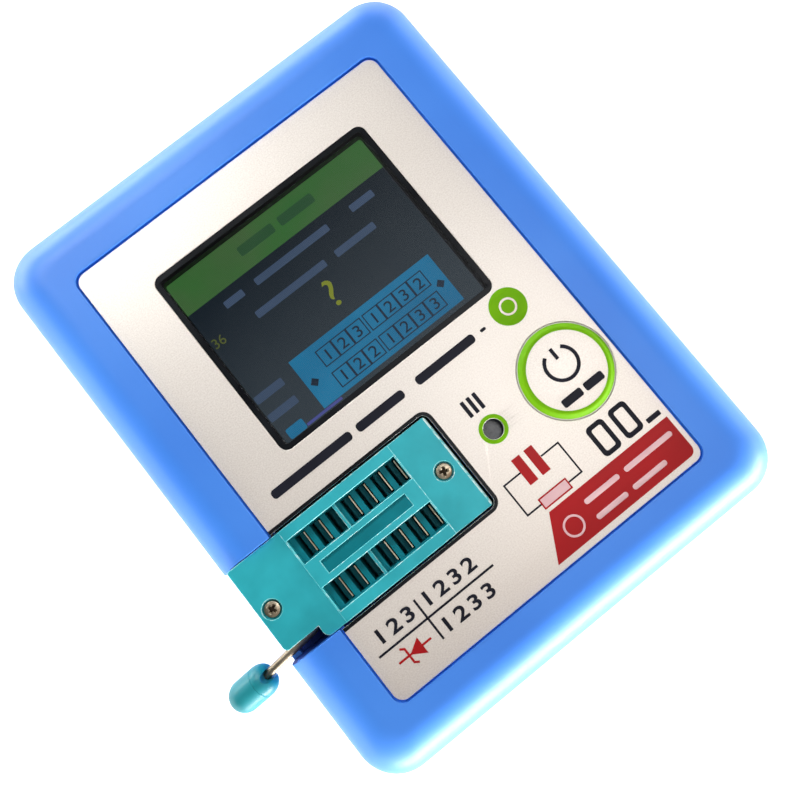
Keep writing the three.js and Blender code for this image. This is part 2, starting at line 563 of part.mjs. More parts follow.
function leverHandle() {
  const { radius, length, nearRound, mouth, mouthDepth, bore, boreDepth, boreY } = HANDLE;
  const far = quarter(6).map(([sine, cosine]) => [radius * sine, length - radius + radius * cosine]);
  const near = quarter(4).map(([sine, cosine]) =>
    [radius - nearRound * (1 - cosine), nearRound * (1 - sine)]);
  return cut(lathe([...far, ...near, [0, 0]].reverse(), ROUND + 4),
    post(0, boreY, bore, -1, boreDepth), post(0, boreY, mouth, -1, mouthDepth)).rotate([0, -90, 0]);
}

// ---- power ----
function lead(points) {
  const section = new THREE.Shape();
  section.absarc(0, 0, LEAD.radius, 0, 2 * Math.PI, false);
  const path = new THREE.CatmullRomCurve3(points.map(([x, y, z]) => new THREE.Vector3(x, y, z)));
  return new THREE.ExtrudeGeometry(section, { steps: 16, curveSegments: 4, extrudePath: path });
}

// ---- assembly ----
add('upper_shell', upperShell(), BLUE);
add('lower_shell', lowerShell(), BLUE);
add('faceplate', faceplate(), SILVER);
add('display_window', displayWindow(), CLEAR_PLASTIC);

add('lcd_frame', lcdFrame(), BLACK);
add('lcd_panel', lcdLayer(LCD.glassBottom, LCD.top - LCD.lip - CLEAR), GLASS);
add('lcd_backlight', lcdLayer(LCD.bottom + 2 * CLEAR, LCD.lightTop), WHITE_PLASTIC);
add('lcd_foam', box(LCD.x - PAD.width / 2, LCD.x + PAD.width / 2, LCD.y - PAD.length / 2,
  LCD.y + PAD.length / 2, PCB.top + CLEAR, LCD.bottom - CLEAR), FOAM);
add('lcd_ribbon', lcdRibbon(), AMBER_FILM);

add('circuit_board', circuitBoard(), BOARD_GREEN);
add('microcontroller', underBoard(CHIPS.microcontroller), BLACK);
add('crystal', underBoard(CHIPS.crystal), STEEL);
add('charge_chip', underBoard(CHIPS.charge_chip), BLACK);
add('battery_connector', underBoard(CHIPS.battery_connector), WHITE_PLASTIC);
add('boost_inductor', post(INDUCTOR.x, INDUCTOR.y, INDUCTOR.radius, PCB.bottom - CLEAR - INDUCTOR.thick,
  PCB.bottom - CLEAR), BLACK);
add('usb_port', usbPort(), STEEL, part, [USB.x, CASE.length / 2 - CASE.wall - SCREW_GAP,
  PCB.bottom - CLEAR - USB.height / 2]);
add('ir_window', post(IR.x, IR.y, IR.radius + IR.rim, IR.foot, PLATE_BED - IR.roof - 2 * CLEAR), SMOKE);
add('ir_receiver', irReceiver(), BLACK);

const press = new THREE.Group();
press.position.set(BUTTON.x, BUTTON.y, 0);
part.add(press);
add('test_button', testButton(), SILVER, press);
add('switch_body', switchBody(), BLACK, press, [0, 0, PCB.top]);
add('switch_plunger', post(0, 0, SWITCH.plunger, SWITCH.plungerFoot, SWITCH.plungerTop), BLACK, press);

const socket = new THREE.Group();
socket.position.set(SOCKET.x, SOCKET.y, PCB.top);
part.add(socket);
add('socket_base', socketBase(), TEAL, socket);
add('socket_slider', socketSlider(), TEAL, socket);
add('socket_cover', socketCover(), TEAL, socket);
const blade = toGeometry(contact());
contactSpots.forEach(([x, y], index) => {
  add(`socket_contact_${index + 1}`, blade, GOLD, socket, [x, y, 0]);
});
screwSpots.forEach(([side, x]) => {
  const place = [x, 0, SOCKET.coverTop - COVER_SCREW.sink];
  add(`socket_screw_${side}`, crossScrew(COVER_SCREW), NICKEL, socket, place);
});

const lever = new THREE.Group();
lever.position.set(LEVER.x, 0, LEVER.z);
socket.add(lever);
add('lever_rod', leverRod(), NICKEL, lever);
const handle = add('lever_handle', leverHandle(), TEAL, lever, onArm(HANDLE.start, HANDLE.y));
handle.rotation.set(0, -slope, HANDLE.yaw * Math.PI / 180);

const cellTop = CASE.floor + CELL.lift + CELL.thick;
add('battery_cell', roundedSlab(CELL.x, CELL.y, CELL.width, CELL.length, CELL.radius, CASE.floor + CELL.lift,
  cellTop), CELL_FOIL);
add('battery_tape', box(CELL.x - TAPE.width / 2, CELL.x + TAPE.width / 2, CELL.y - TAPE.length / 2,
  CELL.y + TAPE.length / 2, CASE.floor + CLEAR, CASE.floor + CLEAR + TAPE.thick), FOAM);
const cellEnd = CELL.y + CELL.length / 2;
[['red', RED_WIRE, 1], ['black', BLACK_WIRE, -1]].forEach(([colour, material, side]) => {
  const start = CELL.x - LEAD.offset + side * LEAD.spread;
  const end = CHIPS.battery_connector.x + side * LEAD.plug;
  const route = [[start, cellEnd + 0.4, 5.4], [start - 1, cellEnd + 2.7 + side * LEAD.plug, 5.6],
    [end, 21, 9], [end, 23.2, 13.6]];
  add(`battery_lead_${colour}`, lead(route), material);
});

// Screws that go in from behind stand on their heads.
function rearScrews(name, size, z) {
  fourCorners(size).forEach(([x, y], index) => {
    const screw = add(`${name}_${index + 1}`, crossScrew(size), STEEL, part, [x, y, z]);
    screw.rotation.x = Math.PI;
  });
}
rearScrews('case_screw', CASE_SCREW, CASE_SCREW.z);
rearScrews('board_screw', BOARD_SCREW, PCB.bottom - CLEAR - BOARD_SCREW.headHeight);

export default part;
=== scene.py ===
import json
import math
import random
from contextlib import contextmanager

import bmesh
import bpy
from mathutils import Matrix, Vector
from mathutils.geometry import tessellate_polygon


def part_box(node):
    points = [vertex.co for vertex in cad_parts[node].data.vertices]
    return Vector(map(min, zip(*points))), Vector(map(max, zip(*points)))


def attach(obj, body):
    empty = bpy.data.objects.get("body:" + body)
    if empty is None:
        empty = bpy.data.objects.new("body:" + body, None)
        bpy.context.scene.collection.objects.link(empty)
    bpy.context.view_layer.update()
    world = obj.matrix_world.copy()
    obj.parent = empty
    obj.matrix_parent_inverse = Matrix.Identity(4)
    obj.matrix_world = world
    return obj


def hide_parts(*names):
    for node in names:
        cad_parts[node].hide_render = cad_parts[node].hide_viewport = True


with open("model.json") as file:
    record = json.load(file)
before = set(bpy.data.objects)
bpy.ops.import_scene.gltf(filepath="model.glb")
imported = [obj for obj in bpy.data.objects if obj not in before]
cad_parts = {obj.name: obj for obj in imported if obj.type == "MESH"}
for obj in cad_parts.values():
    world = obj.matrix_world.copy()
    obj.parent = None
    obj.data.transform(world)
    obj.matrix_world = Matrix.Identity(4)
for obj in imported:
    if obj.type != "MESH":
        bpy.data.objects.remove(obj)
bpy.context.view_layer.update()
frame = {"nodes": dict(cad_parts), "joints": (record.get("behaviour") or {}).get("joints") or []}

# The visual model of a pocket component tester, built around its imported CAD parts. Metres throughout.
# Sizes come from the CAD nodes' boxes; MM turns the few sizes that belong to the looks into metres.
MM = 0.001
scene = bpy.context.scene
chance = random.Random(7)


def spot(node):
    """Middle of a CAD node's box."""
    low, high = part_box(node)
    return (low + high) / 2


def move(x, y, z):
    return Matrix.Translation((x, y, z))


def turn(degrees, axis):
    return Matrix.Rotation(math.radians(degrees), 4, axis)


# ---------------------------------------------------------------- materials
def tone(code):
    """Linear colour of an sRGB hex code."""
    channels = [int(code[i:i + 2], 16) / 255 for i in (0, 2, 4)]
    return (*(c / 12.92 if c <= 0.04045 else ((c + 0.055) / 1.055) ** 2.4 for c in channels), 1)


class Graph:
    """The shader nodes of a material or of the world."""

    def __init__(self, owner):
        owner.use_nodes = True
        self.nodes = owner.node_tree.nodes
        self.links = owner.node_tree.links

    def feed(self, socket, value):
        """Links another node's output to the socket, or sets the socket to a plain value."""
        if isinstance(value, bpy.types.NodeSocket):
            self.links.new(value, socket)
        else:
            socket.default_value = value

    def add(self, kind, **inputs):
        """A new node with those inputs; an underscore stands for the space in a socket's name."""
        node = self.nodes.new("ShaderNode" + kind)
        for name, value in inputs.items():
            self.feed(node.inputs[name.replace("_", " ")], value)
        return node

    def remap(self, value, low, high, start=0.3, stop=0.7):
        node = self.add("MapRange", Value=value, From_Min=start, From_Max=stop, To_Min=low, To_Max=high)
        return node.outputs["Result"]

    def mix(self, factor, first, second):
        node = self.add("Mix")
        node.data_type = "RGBA"
        for index, value in ((0, factor), (6, first), (7, second)):
            self.feed(node.inputs[index], value)
        return node.outputs[2]


class Finish(Graph):
    """A Principled material whose colour, roughness and bump come from noise in the object's own space."""

    def __init__(self, name, roughness, metallic=0.0, **sockets):
        self.material = bpy.data.materials.new(name)
        super().__init__(self.material)
        self.shader = self.nodes["Principled BSDF"]
        self.shader.inputs["Roughness"].default_value = roughness
        self.shader.inputs["Metallic"].default_value = metallic
        for socket, value in sockets.items():
            self.shader.inputs[socket.replace("_", " ")].default_value = value
        self.place = self.add("TexCoord").outputs["Object"]

    def noise(self, size, detail=2.0, stretch=(1, 1, 1), rough=0.5):
        """Noise whose lumps are about size millimetres across."""
        spread = self.add("Mapping", Vector=self.place, Scale=stretch)
        node = self.add("TexNoise", Vector=spread.outputs["Vector"], Scale=1 / (size * MM), Detail=detail,
                        Roughness=rough)
        return node.outputs["Fac"]

    def blend(self, level, dark, light, start=0.3, stop=0.7):
        """A colour between two hex codes."""
        return self.mix(self.remap(level, 0, 1, start, stop), tone(dark), tone(light))

    def surface(self, colour, roughness, height, depth, strength):
        """Joins colour, roughness and a bump of depth millimetres to the shader."""
        bump = self.add("Bump", Height=height, Distance=depth * MM, Strength=strength).outputs["Normal"]
        for socket, value in (("Base Color", colour), ("Roughness", roughness), ("Normal", bump)):
            self.links.new(value, self.shader.inputs[socket])
        return self.material


def moulded(name, dark, light, rough=(0.4, 0.5), drift=12, grain=0.25, depth=0.01, **sockets):
    """Moulded plastic, rubber or ink: a slow drift of colour and gloss with a fine grain."""
    finish = Finish(name, rough[0], **sockets)
    slow, fine = finish.noise(drift, 3), finish.noise(grain)
    return finish.surface(finish.blend(slow, dark, light), finish.remap(slow, *rough), fine, depth, 0.5)


def metal(name, dark, light, rough, brush=(1, 1, 1), grain=0.4):
    """Plated metal: tarnish patches, fine scratches along one direction."""
    finish = Finish(name, rough[0], 1.0)
    patch, scratch = finish.noise(2.5, 4), finish.noise(grain, 4, brush, 0.6)
    colour = finish.blend(patch, dark, light)
    return finish.surface(colour, finish.remap(scratch, *rough), scratch, 0.006, 0.4)


def panel_film():
    """Champagne-silver printed film with a fine metallic grain."""
    finish = Finish("panel_film", 0.4, 0.6)
    flakes, clouds = finish.noise(0.2, rough=0.7), finish.noise(18)
    colour = finish.mix(finish.remap(clouds, 0.0, 0.14), finish.blend(flakes, "e6dfd7", "faf5ee", 0.32, 0.68),
                        tone("ece2d6"))
    return finish.surface(colour, finish.remap(flakes, 0.36, 0.5), flakes, 0.004, 0.35)


def case_plastic():
    """Soft matte blue plastic: a faint mottle and a very fine moulded texture."""
    finish = Finish("case_plastic", 0.42, IOR=1.48, Coat_Weight=0.2, Coat_Roughness=0.38)
    colour, fine = finish.blend(finish.noise(22), "3a83eb", "448ff5"), finish.noise(0.22, 3, rough=0.6)
    return finish.surface(colour, finish.remap(fine, 0.38, 0.5), fine, 0.006, 0.4)


def socket_plastic(name, dark, light, scuffed=None, **sockets):
    """Glass-filled teal plastic. Scuffed edges turn pale where a coarse noise passes that level."""
    finish = Finish(name, 0.4, IOR=1.5, **sockets)
    colour, fine = finish.blend(finish.noise(5, 3), dark, light), finish.noise(0.12, 3, rough=0.6)
    if scuffed:
        wear = finish.remap(finish.noise(1.1, 5, rough=0.7), 0, 0.9, scuffed, scuffed + 0.12)
        colour = finish.mix(wear, colour, tone("d6f4f2"))
    return finish.surface(colour, finish.remap(fine, 0.32, 0.48), fine, 0.005, 0.5)


def clear_plastic():
    """Clear acrylic with a trace of haze."""
    finish = Finish("clear_acrylic", 0.0, Transmission_Weight=1.0, IOR=1.47, Specular_IOR_Level=0.3)
    haze = finish.blend(finish.noise(6, 3), "f2f6f8", "fbfdfd")
    finish.links.new(haze, finish.shader.inputs["Base Color"])
    return finish.material


PIXEL = 0.219 * MM   # pitch of the display's picture cells


def picture(name, dark, light, glow, fade=None):
    """A lit area of the display under the fine grid of its cells. It may fade between two y places."""
    finish = Finish(name, 0.6, Base_Color=(0.004, 0.004, 0.005, 1), Specular_IOR_Level=0.0,
                    Emission_Strength=glow)
    if fade:
        along = finish.add("SeparateXYZ", Vector=finish.place).outputs["Y"]
        level = finish.remap(along, 0.3, 0.7, *fade)
    else:
        level = finish.noise(9)
    shade = finish.blend(level, dark, light)
    gap = finish.mix(finish.remap(level, 0.2, 0.4), shade, (0, 0, 0, 1))
    grid = finish.add("TexBrick", Vector=finish.place, Color1=shade, Color2=shade, Mortar=gap, Scale=1.0,
                      Brick_Width=PIXEL, Row_Height=PIXEL, Mortar_Size=PIXEL * 0.1)
    grid.offset = 0
    finish.links.new(grid.outputs["Color"], finish.shader.inputs["Emission Color"])
    return finish.material


BLUE = case_plastic()
# Painted shade: a darker blue for the faces in the lever's notch, where the case is the same blue plastic but
# lies in shade.
BLUE_PAINTED_SHADE = moulded("case_blue_painted_shade", "14307c", "1a3a92", (0.55, 0.65), 6, Specular_IOR_Level=0.2)
SILVER = panel_film()
CLEAR = clear_plastic()
BLACK_PRINT = moulded("black_print", "07090e", "11151b", (0.25, 0.36), 6, 0.2, Specular_IOR_Level=0.2)
DARK_INK = moulded("dark_ink", "0d0f1c", "161827", (0.42, 0.5), 4, 0.15, Specular_IOR_Level=0.2)
RED_INK = moulded("red_ink", "a60f15", "b2171d", (0.34, 0.42), 8, 0.2, Specular_IOR_Level=0.2)
RIM = moulded("button_rim", "bcb9b2", "cbc7c0", (0.55, 0.65), 4, 0.15, Specular_IOR_Level=0.1)
PINK_INK = moulded("pink_ink", "e6b9be", "efc9cc", drift=3, grain=0.15)
PALE_INK = moulded("pale_ink", "f3e3dc", "fbf1ea", drift=3, grain=0.15)
GREEN_INK = moulded("green_ink", "6cae04", "7abc0a", (0.45, 0.55), 4, 0.2, Specular_IOR_Level=0.12)
TEAL = socket_plastic("socket_teal", "1ba5b2", "29bac7")
# Painted shade: a darker teal standing for the shade on the socket's slider, its base and the rail tops in the
# cover's middle groove, which lie deep under the cover.
TEAL_PAINTED_SHADE = socket_plastic("socket_teal_painted_shade", "088592", "0d92a0", Specular_IOR_Level=0.15)
# Painted highlight and wear: the pale teal of the cover's rounded edges stands partly for light caught on them
# and partly for scuffs; the worn one, at the right end, is scuffed more.
TEAL_EDGE_SCUFFS_AND_HIGHLIGHT = socket_plastic("socket_teal_edge_scuffs_and_highlight", "45c2c9", "7ddde0", 0.5)
TEAL_WORN_AND_HIGHLIGHT = socket_plastic("socket_teal_worn_and_highlight", "45c2c9", "7ddde0", 0.4)
TEAL_GRIP = socket_plastic("grip_teal", "0e7f89", "17909a")
GOLD = metal("contact_gold", "d3c6a6", "ede2ca", (0.3, 0.45), (1, 1, 0.15), 0.25)
NICKEL = metal("nickel", "b0a188", "d8ccb4", (0.26, 0.4), (0.2, 1, 1), 0.3)
ROD_METAL = metal("rod_nickel", "857a69", "ab9f8a", (0.42, 0.55), (0.2, 1, 1), 0.3)
# Painted shade: dark metal for the faces deep in the screws' cross slots, standing for the shade in them.
SLOT_PAINTED_SHADE = metal("screw_slot_painted_shade", "3a3228", "564b3c", (0.5, 0.65))
STEEL = metal("zinc_steel", "8d9094", "c4c6c8", (0.28, 0.45))
FOIL = metal("pouch_foil", "a9adb0", "cfd2d4", (0.3, 0.5), grain=1.2)
BLACK = moulded("black_plastic", "101214", "1b1e22", (0.4, 0.55), 4, 0.15)
SMOKE = moulded("smoke_filter", "2b3036", "474d54", (0.12, 0.3), 0.8, 0.1, 0.02)
WHITE = moulded("white_plastic", "dcdcd4", "ecece6", drift=5)
FOAM = moulded("foam", "26282c", "34373c", (0.85, 0.95), 2, 0.3, 0.1)
AMBER = moulded("amber_film", "9c5f22", "b97a34", (0.3, 0.4), 3)
BOARD = moulded("solder_mask", "15492b", "1e6038", (0.28, 0.4), 3, 0.3)
RED_WIRE = moulded("red_insulation", "a51818", "bd2424", drift=4)
BLACK_WIRE = moulded("black_insulation", "141416", "202024", drift=4)
LCD_GREY = moulded("display_frame", "2c3238", "3a4046", (0.55, 0.65), 7, 0.2, Specular_IOR_Level=0.1)


# ---------------------------------------------------------------- meshes
def linked(name, data):
    obj = bpy.data.objects.new(name, data)
    scene.collection.objects.link(obj)
    return obj


def final_mesh(obj):
    """The object's mesh with its modifiers applied. The object itself is removed."""
    depsgraph = bpy.context.evaluated_depsgraph_get()
    mesh = bpy.data.meshes.new_from_object(obj.evaluated_get(depsgraph))
    bpy.data.objects.remove(obj)
    return mesh


def shown(name, mesh, *materials):
    """A new object: smooth where faces meet at under 35 degrees, and truly flat where a face is level."""
    for polygon in mesh.polygons:
        polygon.use_smooth = abs(polygon.normal.z) < 0.99999
    mesh.set_sharp_from_angle(angle=math.radians(35))
    for material in materials:
        mesh.materials.append(material)
    return linked(name, mesh)


def levelled(obj):
    """The object with normals that follow its larger faces, so a flat face stays flat to its round edges."""
    name = obj.name
    obj.modifiers.new("level", "WEIGHTED_NORMAL").keep_sharp = True
    return linked(name, final_mesh(obj))


@contextmanager
def opened(mesh):
    """The mesh as a bmesh, which is written back at the end."""
    work = bmesh.new()
    work.from_mesh(mesh)
    yield work
    work.to_mesh(mesh)
    work.free()


def outward(mesh):
    with opened(mesh) as work:
        bmesh.ops.recalc_face_normals(work, faces=work.faces)
    return mesh


def bevel(work, edges, width, segments, **options):
    bmesh.ops.bevel(work, geom=edges, offset=width, segments=segments, affect="EDGES", profile=0.5, **options)


def mesh_of(name, vertices, faces):
    mesh = bpy.data.meshes.new(name)
    mesh.from_pydata([tuple(v) for v in vertices], [], faces)
    mesh.update()
    return mesh


def arc(x, y, radius, start, stop, steps=8):
    """Points of an arc in degrees, both ends included."""
    angles = [math.radians(start + (stop - start) * i / steps) for i in range(steps + 1)]
    return [(x + radius * math.cos(a), y + radius * math.sin(a)) for a in angles]


def rectangle(x0, x1, y0, y1, radius, steps=8):
    """Round-cornered rectangle, anticlockwise from its right side."""
    inner = [(x1 - radius, y1 - radius), (x0 + radius, y1 - radius),
             (x0 + radius, y0 + radius), (x1 - radius, y0 + radius)]
    return [point for quarter, (x, y) in enumerate(inner)
            for point in arc(x, y, radius, 90 * quarter, 90 * quarter + 90, steps)]


def circle(x, y, radius, steps=64):
    return arc(x, y, radius, 0, 360 - 360 / steps, steps - 1)


def around(low, high, grow=0.0):
    """The four sides of a box seen from above, x0, x1, y0 and y1, moved outward by grow."""
    return low.x - grow, high.x + grow, low.y - grow, high.y + grow


def inward(loop, distance):
    """The loop moved to its left by distance, corners mitred."""
    moved = []
    for index, here in enumerate(loop):
        before, after = Vector(loop[index - 1]), Vector(loop[(index + 1) % len(loop)])
        first, second = (Vector(here) - before).normalized(), (after - Vector(here)).normalized()
        normal = Vector((-(first.y + second.y), first.x + second.x)).normalized()
        slant = max(0.5, normal.dot(Vector((-first.y, first.x))))
        moved.append(tuple(Vector(here) + normal * (distance / slant)))
    return moved


def bridge(below, above):
    """Faces between two equal loops of vertex numbers."""
    return list(zip(below, below[1:] + below[:1], above[1:] + above[:1], above))


def plate_mesh(name, outer, low, high, holes=(), soft=0.05 * MM, steps=3):
    """A flat plate with rounded top edges. outer runs anticlockwise and so does each hole."""
    outlines = [outer] + [hole[::-1] for hole in holes]
    angles = [math.radians(90 * i / steps) for i in range(steps + 1)]
    levels = [(0.0, low)] + [(soft * (1 - math.cos(a)), high - soft + soft * math.sin(a)) for a in angles]
    vertices, faces, layers = [], [], []
    for inset, z in levels:
        layers.append([])
        for outline in outlines:
            layers[-1].append(list(range(len(vertices), len(vertices) + len(outline))))
            vertices += [(x, y, z) for x, y in inward(outline, inset)]
    for below, above in zip(layers, layers[1:]):
        for loops in zip(below, above):
            faces += bridge(*loops)
    for layer, flip in ((layers[0], True), (layers[-1], False)):
        numbers = sum(layer, [])
        for triangle in tessellate_polygon([[Vector(vertices[i]) for i in loop] for loop in layer]):
            face = [numbers[i] for i in triangle]
            corners = [Vector(vertices[i]) for i in face]
            up = (corners[1] - corners[0]).cross(corners[2] - corners[0]).z > 0
            faces.append(face if up != flip else face[::-1])
    return mesh_of(name, vertices, faces)


def plate(name, outer, low, high, material, holes=(), soft=0.05 * MM, steps=3):
    return shown(name, plate_mesh(name, outer, low, high, holes, soft, steps), material)


def prism_mesh(outline, low, high):
    return plate_mesh("prism", outline, low, high, soft=0.0, steps=1)


def post_mesh(x, y, radius, low, high, steps=48):
    return prism_mesh(circle(x, y, radius, steps), low, high)


BOX_FACES = [(3, 2, 1, 0), (4, 5, 6, 7), (0, 1, 5, 4), (1, 2, 6, 5), (2, 3, 7, 6), (3, 0, 4, 7)]


def block_mesh(x0, x1, y0, y1, z0, z1):
    corners = [(x, y, z) for z in (z0, z1) for x, y in ((x0, y0), (x1, y0), (x1, y1), (x0, y1))]
    return mesh_of("block", corners, BOX_FACES)


def rings(name, loops):
    """A closed skin through equal loops of 3-D points, with a flat face at its start and its end."""
    count = len(loops[0])
    numbers = [list(range(i * count, (i + 1) * count)) for i in range(len(loops))]
    faces = [face for pair in zip(numbers, numbers[1:]) for face in bridge(*pair)]
    faces += [numbers[0][::-1], numbers[-1]]
    return outward(mesh_of(name, sum(loops, []), faces))


def turned(name, profile, segments=64):
    """A body turned about Z from (radius, z) points; it starts and ends on the axis or closes on itself."""
    vertices, faces, loops = [], [], []
    for radius, z in profile:
        count = segments if radius > 1e-9 else 1
        loops.append(list(range(len(vertices), len(vertices) + count)))
        angles = [2 * math.pi * i / segments for i in range(count)]
        vertices += [(radius * math.cos(a), radius * math.sin(a), z) for a in angles]
    if len(loops[0]) > 1 and len(loops[-1]) > 1:
        loops.append(loops[0])
    wide = [loop * segments if len(loop) == 1 else loop for loop in loops]
    for pair in zip(wide, wide[1:]):
        faces += [list(dict.fromkeys(face)) for face in bridge(*pair)]
    return outward(mesh_of(name, vertices, faces))


def worked(name, mesh, *steps):
    """The mesh after booleans: each step is ("cut" or "add", another mesh)."""
    obj = linked(name, mesh)
    tools = []
    for kind, tool_mesh in steps:
        tool = linked("tool", tool_mesh)
        tools.append(tool)
        boolean = obj.modifiers.new(kind, "BOOLEAN")
        boolean.operation = "DIFFERENCE" if kind == "cut" else "UNION"
        boolean.object = tool
        boolean.solver = "EXACT"
    result = final_mesh(obj)
    for tool in tools:
        bpy.data.objects.remove(tool)
    return result


def softened(mesh, width, angle=50):
    """The mesh with its edges rounded where they are sharper than an angle in degrees."""
    obj = linked("soft", mesh)
    rounding = obj.modifiers.new("bevel", "BEVEL")
    rounding.width = width
    rounding.segments = 2
    rounding.limit_method = "ANGLE"
    rounding.angle_limit = math.radians(angle)
    return final_mesh(obj)


def merged(name, objects):
    """One object in place of several; each keeps its own material."""
    work = bmesh.new()
    materials = []
    for obj in objects:
        base = len(work.faces)
        work.from_mesh(obj.data)
        work.faces.ensure_lookup_table()
        slots = []
        for material in obj.data.materials:
            if material not in materials:
                materials.append(material)
            slots.append(materials.index(material))
        for face in work.faces[base:]:
            face.material_index = slots[face.material_index]
        bpy.data.objects.remove(obj)
    mesh = bpy.data.meshes.new(name)
    work.to_mesh(mesh)
    work.free()
    return levelled(shown(name, mesh, *materials))


def piece(obj, body, slot, *nodes):
    """Puts a finished piece on its body and hides the CAD nodes that it stands for. Its slot argument is not
    used.
    """
    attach(obj, body)
    if nodes:
        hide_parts(*nodes)


# ---------------------------------------------------------------- places, from the frame
upper_low, upper_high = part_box("upper_shell")
lower_low, lower_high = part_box("lower_shell")
panel_low, panel_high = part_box("faceplate")
glass_low, glass_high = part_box("display_window")
cover_low, cover_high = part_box("socket_cover")
slider_low, slider_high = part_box("socket_slider")
button_low, button_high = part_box("test_button")
panel_mid, button_mid, ir_mid = spot("faceplate"), spot("test_button"), spot("ir_window")
base_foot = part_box("socket_base")[0].z
PANEL_TOP = panel_high.z
SOCKET_X = spot("socket_contact_4").x
SOCKET_Y = (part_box("socket_contact_1")[0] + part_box("socket_contact_14")[1]).y / 2     # between the two rows
MOUTH = (SOCKET_X - 9.88 * MM, SOCKET_X + 7.95 * MM)     # ends of the two long mouths in the socket's cover
CASE_SCREWS = [spot(f"case_screw_{i}") for i in range(1, 5)]
BOARD_SCREWS = [spot(f"board_screw_{i}") for i in range(1, 5)]
PAST = 1 * MM            # how far a cutting tool reaches past what it cuts
HAIR = 0.01 * MM         # keeps two faces from coinciding, and tells heights apart


# ---------------------------------------------------------------- case
CORNER = 6.0 * MM        # plan radius of the case's corners at its sides
TOP_CORNER = 2.6 * MM    # and where the front edge has turned onto the top
FRONT_EDGE = 6.0 * MM
BACK_EDGE = 3.0 * MM
INNER_EDGE = 3.0 * MM
WALL = 1.8 * MM
CEILING = upper_high.z - 3.1 * MM
FLOOR = 2.0 * MM
LIP = 0.3 * MM           # rounding of the rim where the panel is let in
PANEL_CORNER = 1.5 * MM
PANEL_GAP = 0.12 * MM
FLAT_STRIP = 0.15 * MM   # level strip on the rim beside each of its round edges
CORNER_STEPS = 14
SIDE_GAP_FLOOR = 19 * MM     # where the socket's gap ends in the side wall
LEDGE_TOP = 16.9 * MM        # ledge under the lever's notch
GAP_Y = (cover_low.y - 0.12 * MM, cover_high.y + 0.12 * MM)     # sides of the case's gap for the socket
GAP_LEFT = cover_low.x - 0.12 * MM
NOTCH_SIDE = GAP_Y[0] - 1.2 * MM     # far side of the notch for the lever
BOARD_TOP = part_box("circuit_board")[1].z + 0.05 * MM


def case_ring(inset, z, corner=None):
    """The case's outline at a height. Its corners follow the inset where no radius is given."""
    radius = CORNER - inset / 2 if corner is None else corner
    return [(x, y, z) for x, y in rectangle(*around(upper_low, upper_high, -inset), radius, CORNER_STEPS)]


def recess_ring(grow, z):
    edge = PANEL_GAP + grow
    outline = rectangle(*around(panel_low, panel_high, edge), PANEL_CORNER + edge, CORNER_STEPS)
    return [(x, y, z) for x, y in outline]


def edge_rings(z, towards, radius, inset, steps):
    """Rings that turn the side wall onto a face."""
    found = []
    for step in range(steps + 1):
        angle = math.radians(90 * step / steps)
        shift = radius * (1 - math.cos(angle))
        corner = CORNER - inset / 2 - (CORNER - TOP_CORNER) * shift / FRONT_EDGE
        found.append(case_ring(inset + shift, z + towards * radius * math.sin(angle), corner))
    return found


def front_skin():
    """The front half without openings, from its ceiling round the seam and the front to the panel's bed."""
    bottom, top = upper_low.z, upper_high.z
    inner = edge_rings(CEILING - INNER_EDGE, 1, INNER_EDGE, WALL, 6)[::-1]
    seam = [case_ring(WALL, bottom), case_ring(0.2 * MM, bottom),
            case_ring(0.05 * MM, bottom + 0.06 * MM, CORNER), case_ring(0, bottom + 0.25 * MM)]
    outer = edge_rings(top - FRONT_EDGE, 1, FRONT_EDGE, 0, 26)
    rim = [case_ring(FRONT_EDGE + FLAT_STRIP, top, TOP_CORNER),
           recess_ring(LIP * 1.05 + FLAT_STRIP, top), recess_ring(LIP * 1.05, top)]
    lip = [recess_ring(LIP * math.cos(math.radians(a)), top - LIP + LIP * math.sin(math.radians(a)))
           for a in (67, 45, 22, 0)]
    bed = [recess_ring(0, panel_low.z - 0.05 * MM)]
    return rings("front_shell", inner + seam + outer + rim + lip + bed)


def charging_hole():
    low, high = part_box("usb_port")
    outline = rectangle(low.x - 0.8 * MM, high.x + 0.8 * MM, -2.1 * MM, 2.1 * MM, 1.2 * MM)
    hole = prism_mesh(outline, -10 * MM, 10 * MM)
    hole.transform(move(0, upper_high.y, (low.z + high.z) / 2) @ turn(90, "X"))
    return hole


def front_openings():
    """The socket's gap and wells, then the holes for the window, button, filter and charging socket."""
    under, over = CEILING - PAST, upper_high.z + 5 * MM
    return [
        block_mesh(GAP_LEFT, cover_high.x + 0.35 * MM, *GAP_Y, under, over),
        block_mesh(panel_low.x + 0.3 * MM, cover_high.x + 0.45 * MM, GAP_Y[0] - 0.28 * MM,
                   GAP_Y[1] + 0.28 * MM, CEILING - 1.1 * MM, over + 3 * MM),
        block_mesh(GAP_LEFT - HAIR, MOUTH[0], *GAP_Y, base_foot - 0.35 * MM, over + 1 * MM),
        block_mesh(upper_low.x - 5 * MM, MOUTH[0] - HAIR, *GAP_Y, SIDE_GAP_FLOOR, over + 2 * MM),
        prism_mesh(rectangle(*around(glass_low, glass_high, -0.75 * MM), 0.6 * MM), under, over),
        prism_mesh(rectangle(*around(glass_low, glass_high, 0.2 * MM), 1.3 * MM),
                   glass_low.z - 0.05 * MM, over),
        post_mesh(button_mid.x, button_mid.y, 6.85 * MM, under, over),
        post_mesh(ir_mid.x, ir_mid.y, 1.4 * MM, under, over),
        post_mesh(ir_mid.x, ir_mid.y, 2.6 * MM, under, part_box("ir_window")[1].z + 0.1 * MM),
        charging_hole(),
    ]


